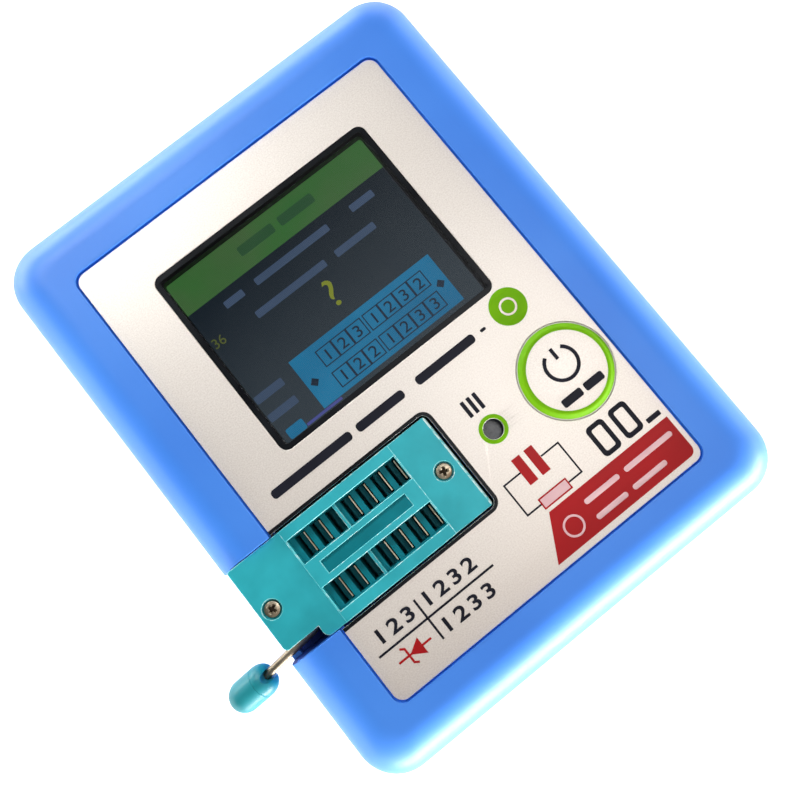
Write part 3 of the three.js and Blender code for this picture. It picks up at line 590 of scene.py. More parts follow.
def front_supports():
    """Screw posts, the notch's ledge and the rib beside it."""
    bottom, roof = upper_low.z, CEILING + PAST
    ledge = block_mesh(upper_low.x + WALL / 2, SOCKET_X - 13.6 * MM, NOTCH_SIDE, SOCKET_Y - 5.75 * MM,
                       BOARD_TOP, LEDGE_TOP)
    rib = block_mesh(upper_low.x + WALL - 0.2 * MM, MOUTH[0], NOTCH_SIDE + HAIR, GAP_Y[0], BOARD_TOP + HAIR,
                     CEILING + 0.5 * MM)
    return [*(post_mesh(s.x, s.y, 2.6 * MM, bottom + 0.05 * MM, roof, 24) for s in CASE_SCREWS),
            *(post_mesh(s.x, s.y, 2.2 * MM, BOARD_TOP, roof, 24) for s in BOARD_SCREWS), ledge, rib]


def breaks_through(edge):
    """Whether an edge is where the socket's gap or the charging hole breaks through the outside."""
    if len(edge.link_faces) != 2 or edge.calc_face_angle(0) < math.radians(40):
        return False
    ends, top = [v.co for v in edge.verts], upper_high.z - 0.1 * MM
    side = all(min(abs(c.y - y) for y in GAP_Y) < 1e-6 for c in ends)
    outside = all(c.x < panel_low.x + 0.1 * MM and (c.z > top or c.x < upper_low.x + 8 * MM) for c in ends)
    inside_wall = all(c.x > upper_low.x + WALL - 0.7 * MM and c.z < CEILING for c in ends)
    charging = all(c.y > upper_high.y - HAIR and abs(c.x) < 6 * MM and c.z > upper_low.z + 0.5 * MM
                   for c in ends)
    return (side and outside and not inside_wall) or charging


def shade_openings(mesh):
    """Black round the window and in the filter's hole, and a darker blue in the notch as painted shade."""
    edge = 0.3 * MM
    x0, x1, y0, y1 = around(glass_low, glass_high, edge)
    for face in mesh.polygons:
        x, y, z = face.center
        in_window = x0 < x < x1 and y0 < y < y1
        in_filter = math.hypot(x - ir_mid.x, y - ir_mid.y) < 1.6 * MM and abs(face.normal.z) < 0.5
        in_notch = upper_low.x + edge < x < MOUTH[0] and NOTCH_SIDE - edge < y < SOCKET_Y - 5.4 * MM
        if (in_window or in_filter) and z > CEILING + HAIR:
            face.material_index = 1
        # painted shade: the notch's faces take the darker blue
        elif in_notch and z < upper_high.z - 1.5 * MM:
            face.material_index = 2


def front_shell():
    bottom = upper_low.z
    bores = [post_mesh(s.x, s.y, 1.2 * MM, bottom - PAST, 19 * MM, 24) for s in CASE_SCREWS]
    bores += [post_mesh(s.x, s.y, 0.9 * MM, bottom, 22.5 * MM, 24) for s in BOARD_SCREWS]
    mesh = worked("front_shell", front_skin(), *(("cut", tool) for tool in front_openings()),
                  *(("add", tool) for tool in front_supports()), *(("cut", tool) for tool in bores))
    with opened(mesh) as work:
        bevel(work, [edge for edge in work.edges if breaks_through(edge)], 0.22 * MM, 3, clamp_overlap=True)
    for material in (BLUE, BLACK, BLUE_PAINTED_SHADE):
        mesh.materials.append(material)
    shade_openings(mesh)
    return levelled(shown("front_shell", mesh))


def back_skin():
    """The back half without its screw posts: up outside, over the seam and round the tongue to the floor."""
    bottom, top = lower_low.z, upper_low.z - 0.3 * MM
    outer = edge_rings(bottom + BACK_EDGE, -1, BACK_EDGE, 0, 12)[::-1]
    seam = [case_ring(0, top - 0.25 * MM), case_ring(0.05 * MM, top - 0.06 * MM, CORNER),
            case_ring(0.2 * MM, top)]
    start = WALL + 0.15 * MM
    tongue = [case_ring(start, top), case_ring(start, lower_high.z - 0.2 * MM),
              case_ring(start + 0.2 * MM, lower_high.z, CORNER - start / 2),
              case_ring(start + 0.9 * MM, lower_high.z), case_ring(start + 0.9 * MM, FLOOR + 1 * MM),
              case_ring(start + 1.6 * MM, FLOOR)]
    return rings("back_shell", outer + seam + tongue)


def back_shell():
    bottom, top = lower_low.z, upper_low.z - 0.3 * MM
    posts = [("add", post_mesh(s.x, s.y, radius, FLOOR - PAST, z, 32)) for s in CASE_SCREWS
             for radius, z in ((2.6 * MM, top), (3.6 * MM, 4.6 * MM))]
    bores = [("cut", post_mesh(s.x, s.y, radius, low, high)) for s in CASE_SCREWS
             for radius, low, high in ((1.25 * MM, 0, top + 5 * MM), (2.4 * MM, -PAST, 3 * MM))]
    mesh = worked("back_shell", back_skin(), *posts, *bores)
    with opened(mesh) as work:
        mouths = [edge for edge in work.edges if all(abs(v.co.z - bottom) < 1e-6 for v in edge.verts)
                  and edge.calc_face_angle(0) > math.radians(40)]
        bevel(work, mouths, 0.3 * MM, 3, clamp_overlap=True)
    return levelled(shown("back_shell", mesh, BLUE))


piece(front_shell(), "case", "case_blue", "upper_shell")
piece(back_shell(), "case", "case_blue", "lower_shell")


# ---------------------------------------------------------------- front panel and its print
OPEN_LOW = cover_low.y - 0.35 * MM     # the panel's opening for the socket
OPEN_HIGH = cover_high.y + 0.35 * MM
OPEN_RIGHT = cover_high.x + 0.4 * MM
OPEN_CORNER = 1.1 * MM
BORDER = 0.5 * MM        # width of the black line round that opening
BUTTON_HOLE = 6.72 * MM
IR_HOLE = 1.4 * MM
INK = 0.025 * MM         # how far print stands above the panel
INK_TOP = PANEL_TOP + INK


def socket_mouth(grow, left):
    """Three sides of the socket's opening, from its upper left round to its lower left."""
    r = OPEN_CORNER + grow
    right, high, low = OPEN_RIGHT + grow, OPEN_HIGH + grow, OPEN_LOW - grow
    corners = arc(right - r, high - r, r, 90, 0) + arc(right - r, low + r, r, 0, -90)
    return [(left, high), *corners, (left, low)]


def panel_outline():
    r = PANEL_CORNER
    left, right, low, high = around(panel_low, panel_high)
    return [*arc(right - r, high - r, r, 0, 90), *arc(left + r, high - r, r, 90, 180), *socket_mouth(0, left),
            *arc(left + r, low + r, r, 180, 270), *arc(right - r, low + r, r, 270, 360)]


def window_opening(inset=0.0):
    return rectangle(*around(glass_low, glass_high, 0.15 * MM - inset), max(1.3 * MM - inset, 0.4 * MM))


def front_panel():
    holes = [window_opening(), circle(button_mid.x, button_mid.y, BUTTON_HOLE, 96),
             circle(ir_mid.x, ir_mid.y, IR_HOLE, 48)]
    return levelled(plate("front_panel", panel_outline(), panel_low.z, PANEL_TOP, SILVER, holes, 0.07 * MM))


def printed(outline, material, holes=(), top=PANEL_TOP):
    return plate("print", outline, top - 0.02 * MM, top + INK, material, holes, soft=0.012 * MM, steps=2)


def bar(x0, x1, y0, y1, material, radius=0.3 * MM, top=PANEL_TOP):
    radius = min(radius, (x1 - x0) / 2.01, (y1 - y0) / 2.01)
    return printed(rectangle(x0, x1, y0, y1, radius, 5), material, top=top)


def stroke(points, width, material, top=PANEL_TOP):
    """A printed line through the points, of one width, square at its ends."""
    left, right = [], []
    for index, here in enumerate(points):
        here = Vector(here)
        before = Vector(points[max(index - 1, 0)])
        after = Vector(points[min(index + 1, len(points) - 1)])
        first = (here - before).normalized() if index else (after - here).normalized()
        second = (after - here).normalized() if index < len(points) - 1 else first
        normal = Vector((-(first.y + second.y), first.x + second.x)).normalized()
        reach = width / 2 / max(0.4, normal.dot(Vector((-first.y, first.x))))
        left.append(tuple(here + normal * reach))
        right.append(tuple(here - normal * reach))
    return printed(right + left[::-1], material, top=top)


def number(text, x, y, height, material, top=PANEL_TOP, thick=INK, bold=0.03, wide=1.3):
    """Plain figures, their foot at y and their middle at x, with strokes widened by a share of the height."""
    curve = bpy.data.curves.new("number", "FONT")
    curve.body = text
    curve.size = height / 0.72
    curve.align_x = "CENTER"
    curve.extrude = thick
    curve.offset = bold * height
    curve.resolution_u = 4
    mesh = final_mesh(linked("number", curve))
    mesh.transform(move(x, y, top) @ Matrix.Diagonal((wide, 1, 1, 1)))
    return shown("number", mesh, material)


def on_panel(x, y):
    """A place on the panel, given from its centre in millimetres."""
    return panel_mid.x + x * MM, panel_mid.y + y * MM


def sides(x0, x1, y0, y1):
    """The sides of a rectangle on the panel, given from its centre in millimetres."""
    return panel_mid.x + x0 * MM, panel_mid.x + x1 * MM, panel_mid.y + y0 * MM, panel_mid.y + y1 * MM


def print_borders():
    left = panel_low.x + 0.02 * MM
    band = socket_mouth(BORDER, left) + socket_mouth(0.02 * MM, left)[::-1]
    around_window = plate("window_border", window_opening(0.03 * MM), glass_high.z - 0.02 * MM,
                          glass_high.z + 0.03 * MM, BLACK_PRINT, [window_opening(0.8 * MM)], soft=0.01 * MM)
    return merged("black_borders", [printed(band[::-1], BLACK_PRINT), around_window])


def print_title():
    """Plain bars where the title was."""
    bars = [bar(*sides(x0, x1, -4.35 - half, -4.35 + half), DARK_INK, 0.5 * MM) for x0, x1, half in
            ((-22.4, -9.2, 0.65), (-8.2, -0.3, 0.65), (1.9, 11.8, 0.65), (12.9, 13.8, 0.22))]
    return merged("title_bars", bars)


def print_disc():
    """A green disc with a pale ring."""
    x, y = on_panel(18, -4)
    ring = printed(circle(x, y, 1.25 * MM, 40), PALE_INK, [circle(x, y, 0.95 * MM, 40)], INK_TOP)
    return merged("green_disc", [printed(circle(x, y, 2.65 * MM), GREEN_INK), ring])


def print_infrared():
    x, y = ir_mid.x, ir_mid.y
    ring = printed(circle(x, y, 2.0 * MM), GREEN_INK, [circle(x, y, IR_HOLE + 0.04 * MM, 48)])
    marks = [bar(*sides(x0, x0 + 0.55, -12.65, -10.15), DARK_INK, 0.1 * MM) for x0 in (4.55, 5.55, 6.55)]
    return merged("infrared_print", [ring, *marks])


def print_capacitor():
    """A capacitor with a resistor across it."""
    left, right, top, foot = 2.3, 11.5, -22.3, -27.2
    pieces = [stroke([on_panel(*place) for place in places], 0.24 * MM, DARK_INK) for places in
              (((5.1, top), (left, top), (left, foot), (4.6, foot)),
               ((8.6, top), (right, top), (right, foot), (9.3, foot)))]
    pieces += [bar(*sides(x0, x0 + 1.35, -24.4, -20.3), RED_INK, 0.05 * MM) for x0 in (5.1, 7.2)]
    pieces.append(bar(*sides(4.6, 9.3, -28.1, -26.4), RED_INK, 0.05 * MM))
    pieces.append(bar(*sides(4.82, 9.08, -27.88, -26.62), PINK_INK, 0.05 * MM, INK_TOP))
    return merged("capacitor_symbol", pieces)


def print_marks():
    """Two plain rounded blocks and a bar where certification marks were."""
    pieces = [printed(rectangle(*sides(x0, x0 + 2.9, -27.9, -23.2), 0.7 * MM, 6), DARK_INK,
                      [rectangle(*sides(x0 + 0.66, x0 + 2.24, -27.24, -23.86), 0.3 * MM, 6)])
              for x0 in (15.2, 19.0)]
    return merged("plain_marks", [*pieces, bar(*sides(22.5, 24.7, -27.9, -27.2), DARK_INK, 0.1 * MM)])


def print_red_field():
    """A red field with plain pale bars and a ring."""
    left_top, right, high, low, left_foot = 4.75, 25.0, -28.6, -34.65, 1.35
    outline = [on_panel(left_top, high), on_panel(left_foot, low),
               *arc(*on_panel(right - 1, low + 1), 1 * MM, 270, 360, 6), on_panel(right, high)]
    lines = [bar(*sides(x0, x1, y - 0.38, y + 0.38), PINK_INK, 0.35 * MM, INK_TOP) for x0, x1, y in
             ((9.2, 15.0, -30.6), (16.0, 24.1, -30.6), (9.2, 14.4, -33.1), (15.4, 21.1, -33.1))]
    x, y = on_panel(6.2, -32.0)
    ring = printed(circle(x, y, 1.5 * MM, 48), PINK_INK, [circle(x, y, 1.2 * MM, 48)], INK_TOP)
    return merged("red_field", [printed(outline, RED_INK), *lines, ring])


def print_pin_chart():
    """The numbers of the socket's contacts, ruled lines and a red diode symbol."""
    def at(x, y):
        return on_panel(-25.92 + x * 0.937, 35.5 - y * 0.937)
    rule = 0.3 * MM
    pieces = [stroke([at(1.84, 69.15), at(22.05, 69.15)], rule, DARK_INK),
              stroke([at(10.4, 66.0), at(10.4, 72.7)], rule, DARK_INK)]
    for digits, first, y in (("123", 3.7, 68.0), ("1232", 12.0, 68.0), ("1233", 12.0, 72.45)):
        pieces += [number(digit, *at(first + index * 2.45, y), 1.98 * MM, DARK_INK)
                   for index, digit in enumerate(digits)]
    bend = [at(4.7, 70.0), at(5.3, 70.4), at(5.3, 72.6), at(5.9, 73.0)]
    pieces += [stroke([at(3.5, 71.5), at(9.1, 71.5)], rule, RED_INK, PANEL_TOP - HAIR),
               stroke(bend, rule, RED_INK, PANEL_TOP + HAIR),
               printed([at(5.45, 71.5), at(7.6, 72.8), at(7.6, 70.2)], RED_INK)]
    return merged("pin_chart", pieces)


piece(front_panel(), "case", "panel_silver", "faceplate")
for printing, slot in ((print_borders, "black_plastic"), (print_title, "black_plastic"),
                       (print_disc, "panel_silver"), (print_infrared, "panel_silver"),
                       (print_capacitor, "panel_silver"), (print_marks, "black_plastic"),
                       (print_red_field, "panel_silver"), (print_pin_chart, "panel_silver")):
    piece(printing(), "case", slot)


# ---------------------------------------------------------------- button
BUTTON_RADIUS = 6.68 * MM
FLAT_RADIUS = 5.75 * MM
DOME = 0.12 * MM
BUTTON_FOOT = PANEL_TOP - 0.05 * MM


def crown(radius):
    """Height of the button's face at a radius: a shallow dome, then an S-shaped fall to the panel."""
    dome = button_high.z - DOME * (min(radius, FLAT_RADIUS) / FLAT_RADIUS) ** 2
    share = min(1.0, max(0.0, radius - FLAT_RADIUS) / (BUTTON_RADIUS - FLAT_RADIUS))
    return dome - (dome - BUTTON_FOOT) * (share * share * (3 - 2 * share))


def face_profile(start, stop, steps, lift=0.0):
    radii = [start + (stop - start) * i / steps for i in range(steps + 1)]
    return [(r, crown(r) + lift) for r in radii]


def button_cap():
    low, top, flange = button_low.z, PANEL_TOP, (button_high.x - button_low.x) / 2
    stem, skirt, collar = 1.5 * MM, 5.6 * MM, 6.55 * MM
    profile = [(0, low), (stem, low), (stem, top - 0.7 * MM), (skirt, top - 0.7 * MM), (skirt, low),
               (flange, low), (flange, low + 0.7 * MM), (collar, low + 0.7 * MM), (collar, top - 0.4 * MM),
               (BUTTON_RADIUS, top - 0.4 * MM), *face_profile(0, BUTTON_RADIUS, 40)[::-1]]
    cap = shown("cap", turned("cap", profile, 96), SILVER, RIM)
    for face in cap.data.polygons:
        if math.hypot(face.center.x, face.center.y) > 6.4 * MM:
            face.material_index = 1
    return cap


def button_print():
    """A green ring, a power symbol and two plain marks."""
    inner, outer, top = 5.45 * MM, 6.5 * MM, button_high.z
    paint = face_profile(inner, outer, 8, INK) + face_profile(inner, outer, 8, -0.05 * MM)[::-1]
    sweep = arc(0, 1.15 * MM, 2.3 * MM, 125, 415, 29)
    return [shown("ring", turned("ring", paint, 96), GREEN_INK), stroke(sweep, 0.5 * MM, DARK_INK, top),
            bar(-0.25 * MM, 0.25 * MM, 1.9 * MM, 3.6 * MM, DARK_INK, 0.05 * MM, top),
            *(bar(x0 * MM, x1 * MM, -3.9 * MM, -2.7 * MM, DARK_INK, top=top)
              for x0, x1 in ((-3.4, -0.2), (0.3, 3.4)))]


button = merged("test_button_cap", [button_cap(), *button_print()])
button.data.transform(move(button_mid.x, button_mid.y, 0))
piece(button, "button", "panel_silver", "test_button")


# ---------------------------------------------------------------- display
VIEW_X, VIEW_Y = 17.52, 14.01     # half the picture's sides, in millimetres
LCD_X, LCD_Y = panel_mid.x + 0.6 * MM, panel_mid.y + 14 * MM
LCD_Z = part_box("lcd_panel")[1].z
LAYER = 0.02 * MM

PIX_BACK = picture("pix_back", "333d45", "15212b", 0.9, (LCD_Y - 9 * MM, LCD_Y + 9 * MM))
PIX_BAND = picture("pix_band", "376b33", "48693e", 0.95)
PIX_BOX = picture("pix_box", "1d7ba6", "1a6f9a", 0.95)
PIX_SHADE = picture("pix_shade", "2b5434", "325838", 0.9)
PIX_TEXT = picture("pix_text", "43556f", "4c5f7c", 0.8)
PIX_DIM = picture("pix_dim", "16283c", "1d3246", 0.8)
PIX_LIME = picture("pix_lime", "828c28", "8f9832", 0.9)
PIX_MOSS = picture("pix_moss", "565e2a", "626a30", 0.9)
PIX_VIOLET = picture("pix_violet", "4d55a0", "5a5fae", 0.8)
PIX_LINE = picture("pix_line", "1c2f45", "21364c", 0.7)


def lit(x0, x1, y0, y1, material, layer, radius=0.0):
    """A lit rectangle of the picture, in millimetres from its centre."""
    z = LCD_Z + layer * LAYER
    outline = rectangle(LCD_X + x0 * MM, LCD_X + x1 * MM, LCD_Y + y0 * MM, LCD_Y + y1 * MM,
                        max(radius, 0.02) * MM, 4)
    return plate("lit", outline, z, z + LAYER, material, soft=0.002 * MM, steps=1)


def lit_number(text, x, y, height, material, layer, bold=0.0, wide=1.15):
    """Lit figures, their place and height in millimetres."""
    return number(text, LCD_X + x * MM, LCD_Y + y * MM, height * MM, material, LCD_Z + layer * LAYER,
                  0.01 * MM, bold, wide)


def lit_spot(x, y):
    outline = [(LCD_X + (x + dx) * MM, LCD_Y + (y + dy) * MM)
               for dx, dy in ((0.7, 0), (0, 0.7), (-0.7, 0), (0, -0.7))]
    return plate("spot", outline, LCD_Z + 2 * LAYER, LCD_Z + 3.5 * LAYER, PIX_DIM, soft=0.002 * MM, steps=1)


def cell_row(y0, y1, digits):
    """A row of outlined cells, each with a number; there is a gap after the third."""
    width, line, found = 2.6, 0.16, []
    for index, digit in enumerate(digits):
        x0 = -6.8 + index * width + (0.35 if index > 2 else 0)
        found += [lit(x0, x0 + width, y0, y1, PIX_LINE, 2),
                  lit(x0 + line, x0 + width - line, y0 + line, y1 - line, PIX_BOX, 3),
                  lit_number(digit, x0 + width / 2, y0 + 0.5, 1.7, PIX_DIM, 5, 0.005)]
    return found


def display_picture():
    return merged("display_picture", [
        lit(-VIEW_X, VIEW_X, -VIEW_Y, VIEW_Y, PIX_BACK, 0),
        lit(-VIEW_X, VIEW_X, 8.76, VIEW_Y, PIX_BAND, 1),
        *(lit(x0, x1, 10.8, 12.3, PIX_SHADE, 2, 0.3) for x0, x1 in ((-6.4, -0.4), (0.6, 6.6))),
        *(lit(x0, x1, 6.2, 7.3, PIX_TEXT, 1, 0.2) for x0, x1 in ((-12.5, -9.3), (-7.2, 5.6), (9.6, 13.6))),
        *(lit(x0, x1, 2.4, 3.5, PIX_TEXT, 1, 0.2) for x0, x1 in ((-9.9, 2.2), (4.0, 10.9))),
        *(lit(-17.3, -12.6, y, y + 1.2, PIX_TEXT, 1, 0.2) for y in (-7.1, -10.2)),
        lit(-10.5, 14.0, -13.1, -5.0, PIX_BOX, 1),
        lit(-16.6, -13.8, -13.7, -12.1, PIX_BOX, 1, 0.3),
        lit(-13.7, -7.7, -13.6, -13.2, PIX_VIOLET, 1, 0.1),
        lit_number("?", 0.2, -3.0, 4.2, PIX_LIME, 2),
        lit_number("36", -16.2, 2.6, 1.5, PIX_MOSS, 2, wide=1.0),
        *cell_row(-8.8, -6.1, "1231232"),
        *cell_row(-12.4, -9.8, "1221233"),
        *(lit_spot(x, -9.4) for x in (-9.3, 12.8)),
    ])


def clear_window():
    outline = rectangle(*around(glass_low, glass_high), 1.15 * MM)
    return levelled(plate("clear_window", outline, glass_low.z, glass_high.z, CLEAR, soft=0.1 * MM))


piece(display_picture(), "case", "lcd_glass")
piece(clear_window(), "case", "window_clear", "display_window")


# ---------------------------------------------------------------- socket
ROW = 3.81                   # millimetres from the socket's middle line to each row of contacts
NOTCH_X = SOCKET_X - 13.3 * MM
NOTCH_Y = SOCKET_Y - 5.45 * MM
COVER_TOP = cover_high.z - 0.12 * MM
SCREWS = {side: spot(f"socket_screw_{side}") for side in ("left", "right")}


def socket_block(x0, x1, y0, y1, low, high):
    """A block whose sides are given in millimetres from the middle of the socket's contacts."""
    across = (SOCKET_X + x0 * MM, SOCKET_X + x1 * MM, SOCKET_Y + y0 * MM, SOCKET_Y + y1 * MM)
    return block_mesh(*across, low, high)


def socket_outline(inset, corner):
    """The socket from above, with the notch where its lever passes."""
    left, right, low, high = around(cover_low, cover_high, -inset)
    nx, ny = NOTCH_X + inset, NOTCH_Y + inset
    tab, ear, lobe = max(corner, 0.02 * MM), 0.7 * MM, 0.9 * MM
    return [*arc(right - tab, high - tab, tab, 0, 90, 4), *arc(left + tab, high - tab, tab, 90, 180, 4),
            *arc(left + ear, ny + ear, ear, 180, 270, 4), (nx, ny),
            *arc(nx + lobe, low + lobe, lobe, 180, 270, 6), *arc(right - tab, low + tab, tab, 270, 360, 4)]


def pale_edges(mesh, lowest):
    """Rounds the outward edges above a height, in its second material, a pale teal that is partly painted
    highlight and partly scuffs; the right end's are wide and worn, in its fourth.
    """
    worn_from = cover_high.x - 0.41 * MM
    with opened(mesh) as work:
        bmesh.ops.remove_doubles(work, verts=work.verts, dist=0.005 * MM)
        bmesh.ops.dissolve_limit(work, angle_limit=math.radians(2), verts=work.verts, edges=work.edges)
        for worn, width, material in ((False, 0.1 * MM, 1), (True, 0.36 * MM, 3)):
            chosen = [edge for edge in work.edges if len(edge.link_faces) == 2 and edge.is_convex
                      and edge.calc_face_angle(0) > math.radians(60)
                      and all(v.co.z > lowest for v in edge.verts)
                      and all(v.co.x > worn_from for v in edge.verts) == worn]
            bevel(work, chosen, width, 2, material=material, clamp_overlap=False)


def socket_cover():
    roof, rail, over = slider_high.z + 0.1 * MM, cover_high.z - 0.45 * MM, cover_high.z + PAST
    steps = [("cut", prism_mesh(socket_outline(0.9 * MM, 0), cover_low.z - PAST, roof)),
             ("add", block_mesh(MOUTH[0] - 0.25 * MM, MOUTH[1] + 0.25 * MM, cover_low.y, cover_high.y,
                                roof + 0.3 * MM, cover_high.z))]
    for y in (ROW, -ROW):
        steps += [("cut", socket_block(-9.88, 7.95, y - 1.9, y + 1.9, roof - PAST, over)),
                  ("add", socket_block(-2.52, -2.02, y - 2.1, y + 2.1, roof, rail))]
    head = base_foot + 7.9 * MM
    steps += [("cut", socket_block(-8, 6, -0.95, 0.95, rail, over)),
              *(("cut", post_mesh(s.x, s.y, 1.34 * MM, head, over, 40)) for s in SCREWS.values()),
              ("cut", block_mesh(cover_low.x - PAST, NOTCH_X, NOTCH_Y - 1 * MM, NOTCH_Y + 0.45 * MM,
                                 cover_low.z - PAST, COVER_TOP - 1 * MM))]
    mesh = worked("cover", prism_mesh(socket_outline(0, 0.4 * MM), cover_low.z, COVER_TOP), *steps)
    for material in (TEAL, TEAL_EDGE_SCUFFS_AND_HIGHLIGHT, TEAL_PAINTED_SHADE, TEAL_WORN_AND_HIGHLIGHT):
        mesh.materials.append(material)
    pale_edges(mesh, roof + 0.05 * MM)
    # Painted shade: the rail's top faces, at the floor of the middle groove, take the darker teal.
    for face in mesh.polygons:
        on_rail = abs(face.center.z - rail) < HAIR and abs(face.center.y - SOCKET_Y) < 1 * MM
        if on_rail and face.normal.z > 0.9:
            face.material_index = 2
    return levelled(shown("socket_top", mesh))


def socket_slider():
    low, high, tab_end = slider_low.z, slider_high.z, (slider_low.x - SOCKET_X) / MM
    steps = []
    for y in (2.8, -2.8):
        steps += [("add", socket_block(tab_end, -11, y - 1.4, y + 1.4, low, high)),
                  ("cut", socket_block(-15.9, -12.9, y - 1.15, y + 1.15, low - PAST, high - 0.8 * MM))]
    for index in range(1, 15):
        leaf = spot(f"socket_contact_{index}")
        steps.append(("cut", block_mesh(leaf.x - 1.45 * MM, leaf.x + 0.25 * MM, leaf.y - 1.75 * MM,
                                        leaf.y + 1.75 * MM, low - PAST, high + PAST)))
    shell = worked("slider", socket_block(-11.8, 9.6, -6.2, 6.2, low, high), *steps)
    # Painted shade: the slider, under the cover, is in the darker teal.
    return levelled(shown("slider_bars", softened(shell, 0.1 * MM, 40), TEAL_PAINTED_SHADE))


def contact_mesh():
    """A leaf that leans slightly towards its slot near the top, with a narrow tail below."""
    low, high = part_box("socket_contact_4")
    half, thick, lean = (high.y - low.y) / 2, 0.16 * MM, -0.02 * MM
    line = [(0.0, low.z + 4.75 * MM), (0.0, high.z - 2.4 * MM), (lean, high.z - 1.2 * MM),
            (lean, high.z - 0.5 * MM), (0.0, high.z - 0.05 * MM)]
    outline = [(x + thick / 2, z) for x, z in line] + [(x - thick / 2, z) for x, z in line[::-1]]
    leaf = plate_mesh("leaf", outline, -half, half, soft=0.02 * MM, steps=1)
    leaf.transform(turn(90, "X"))
    tail = block_mesh(-0.12 * MM, 0.12 * MM, -0.28 * MM, 0.28 * MM, low.z, low.z + 4.9 * MM)
    return outward(worked("contact", leaf, ("add", tail)))


def screw_mesh(radius, head, shank, length):
    """A cross-head screw, its head's top at z 0, slightly domed, with a tapered cross."""
    dome = 0.12 * radius
    tip = -head - length
    profile = [(0, 0), (radius * 0.6, -dome * 0.4), (radius * 0.9, -dome), (radius, -dome * 2.2),
               (radius, -head), (shank, -head), (shank, tip + shank), (shank * 0.5, tip), (0, tip)]
    arm, blade, bit = radius * 0.72, radius * 0.2, head * 0.8
    steps = []
    for degrees in (0, 90):
        corners = [(sx * arm * along, sy * blade * across, z)
                   for z, along, across in ((-bit, 0.55, 0.6), (dome, 1, 1))
                   for sx, sy in ((-1, -1), (1, -1), (1, 1), (-1, 1))]
        slot = mesh_of("slot", corners, BOX_FACES)
        slot.transform(turn(degrees, "Z"))
        steps.append(("cut", slot))
    mesh = softened(worked("screw", turned("screw", profile, 40), *steps), 0.03 * radius)
    # Painted shade: faces deep in the cross slot take the second material, the dark metal of the slot's shade.
    for face in mesh.polygons:
        deep = face.center.z < -0.9 * bit or (abs(face.normal.z) < 0.5 and face.center.z < -dome * 0.5)
        if deep and face.center.z > -bit * 1.1 and math.hypot(face.center.x, face.center.y) < arm * 1.05:
            face.material_index = 1
    return mesh


SHAFT = Vector(next(joint["pos_m"] for joint in frame["joints"] if joint["name"] == "lever_turn"))
SLOPE = 16                   # degrees that the lever's arm slopes down from its shaft
ROD = 0.6 * MM
LUG_Y = 2.8 * MM             # from the socket's middle line to each cam on the shaft
ARM_Y = SOCKET_Y - 5.75 * MM
ARM_END = 13 * MM
SPLAY = 1.25 * MM            # how far the arm leans out at its end
BEND = 1.0 * MM
GRIP_START, GRIP_LENGTH, GRIP_RADIUS = 9.6 * MM, 7.6 * MM, 2.35 * MM
GRIP_Y = SOCKET_Y - 6.85 * MM
GRIP_YAW = 3                 # degrees


def on_arm(out, y):
    """A place so far out along the lever's arm."""
    slope = math.radians(SLOPE)
    return Vector((SHAFT.x - out * math.cos(slope), y, SHAFT.z - out * math.sin(slope)))


def lever_rod():
    corner, foot, start = on_arm(0, ARM_Y), on_arm(0, ARM_Y + BEND), on_arm(BEND, ARM_Y)
    bends = [(1 - t) ** 2 * foot + 2 * t * (1 - t) * corner + t * t * start
             for t in (i / 10 for i in range(11))]
    line = [Vector((SHAFT.x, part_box("lever_rod")[1].y, SHAFT.z)), *bends, on_arm(ARM_END, ARM_Y - SPLAY)]
    curve = bpy.data.curves.new("rod", "CURVE")
    curve.dimensions = "3D"
    curve.bevel_depth = ROD
    curve.bevel_resolution = 8
    curve.use_fill_caps = True
    spline = curve.splines.new("POLY")
    spline.points.add(len(line) - 1)
    for point, place in zip(spline.points, line):
        point.co = (*place, 1)
    cams = []
    for y in (LUG_Y, -LUG_Y):
        cam = post_mesh(0, 0, 1.15 * MM, -0.9 * MM, 0.9 * MM, 32)
        cam.transform(move(SHAFT.x, SOCKET_Y + y, SHAFT.z + 0.8 * MM) @ turn(90, "X"))
        cams.append(("add", cam))
    return shown("lever_wire", worked("rod", final_mesh(linked("rod", curve)), *cams), ROD_METAL)


def lever_grip():
    """The capsule grip: a taper at its near end, a parting groove and a fork where the rod goes in."""
    length, radius = GRIP_LENGTH, GRIP_RADIUS
    taper, narrower, groove, shift = 2.0 * MM, 1.35 * MM, 2.1 * MM, 0.1 * MM
    far = [(radius * math.sin(math.radians(a)), length - radius + radius * math.cos(math.radians(a)))
           for a in range(0, 91, 9)]
    seam = [(radius - depth * MM, groove + up * MM)
            for depth, up in ((0, 0.08), (0.06, 0.02), (0.06, -0.02), (0, -0.08))]
    near = [(radius - narrower * (1 - math.cos(math.radians(a))), taper * (1 - math.sin(math.radians(a))))
            for a in range(0, 91, 10)]
    fork = post_mesh(0, 0, 0.82 * MM, -3 * MM, 3 * MM, 32)
    fork.transform(move(0, shift, 0.05 * MM) @ turn(90, "Y"))
    bore = post_mesh(0, shift, ROD + 0.12 * MM, -1 * MM, 4 * MM, 32)
    mesh = worked("grip", turned("grip", far + seam + near + [(0, 0)]), ("cut", fork), ("cut", bore))
    mesh = softened(mesh, 0.06 * MM)
    mesh.transform(Matrix.Translation(on_arm(GRIP_START, GRIP_Y)) @ turn(-SLOPE, "Y") @ turn(GRIP_YAW, "Z")
                   @ turn(-90, "Y"))
    return shown("lever_grip", outward(mesh), TEAL_GRIP)


def copied(mesh, placing):
    """A copy of the mesh, placed by a matrix."""
    own = mesh.copy()
    own.transform(placing)
    return own


def contacts():
    leaf = contact_mesh()
    for index in range(1, 15):
        node = f"socket_contact_{index}"
        own = copied(leaf, move(spot(node).x, spot(node).y, 0))
        piece(shown(f"contact_leaf_{index}", own, GOLD), "case", "contact_gold", node)


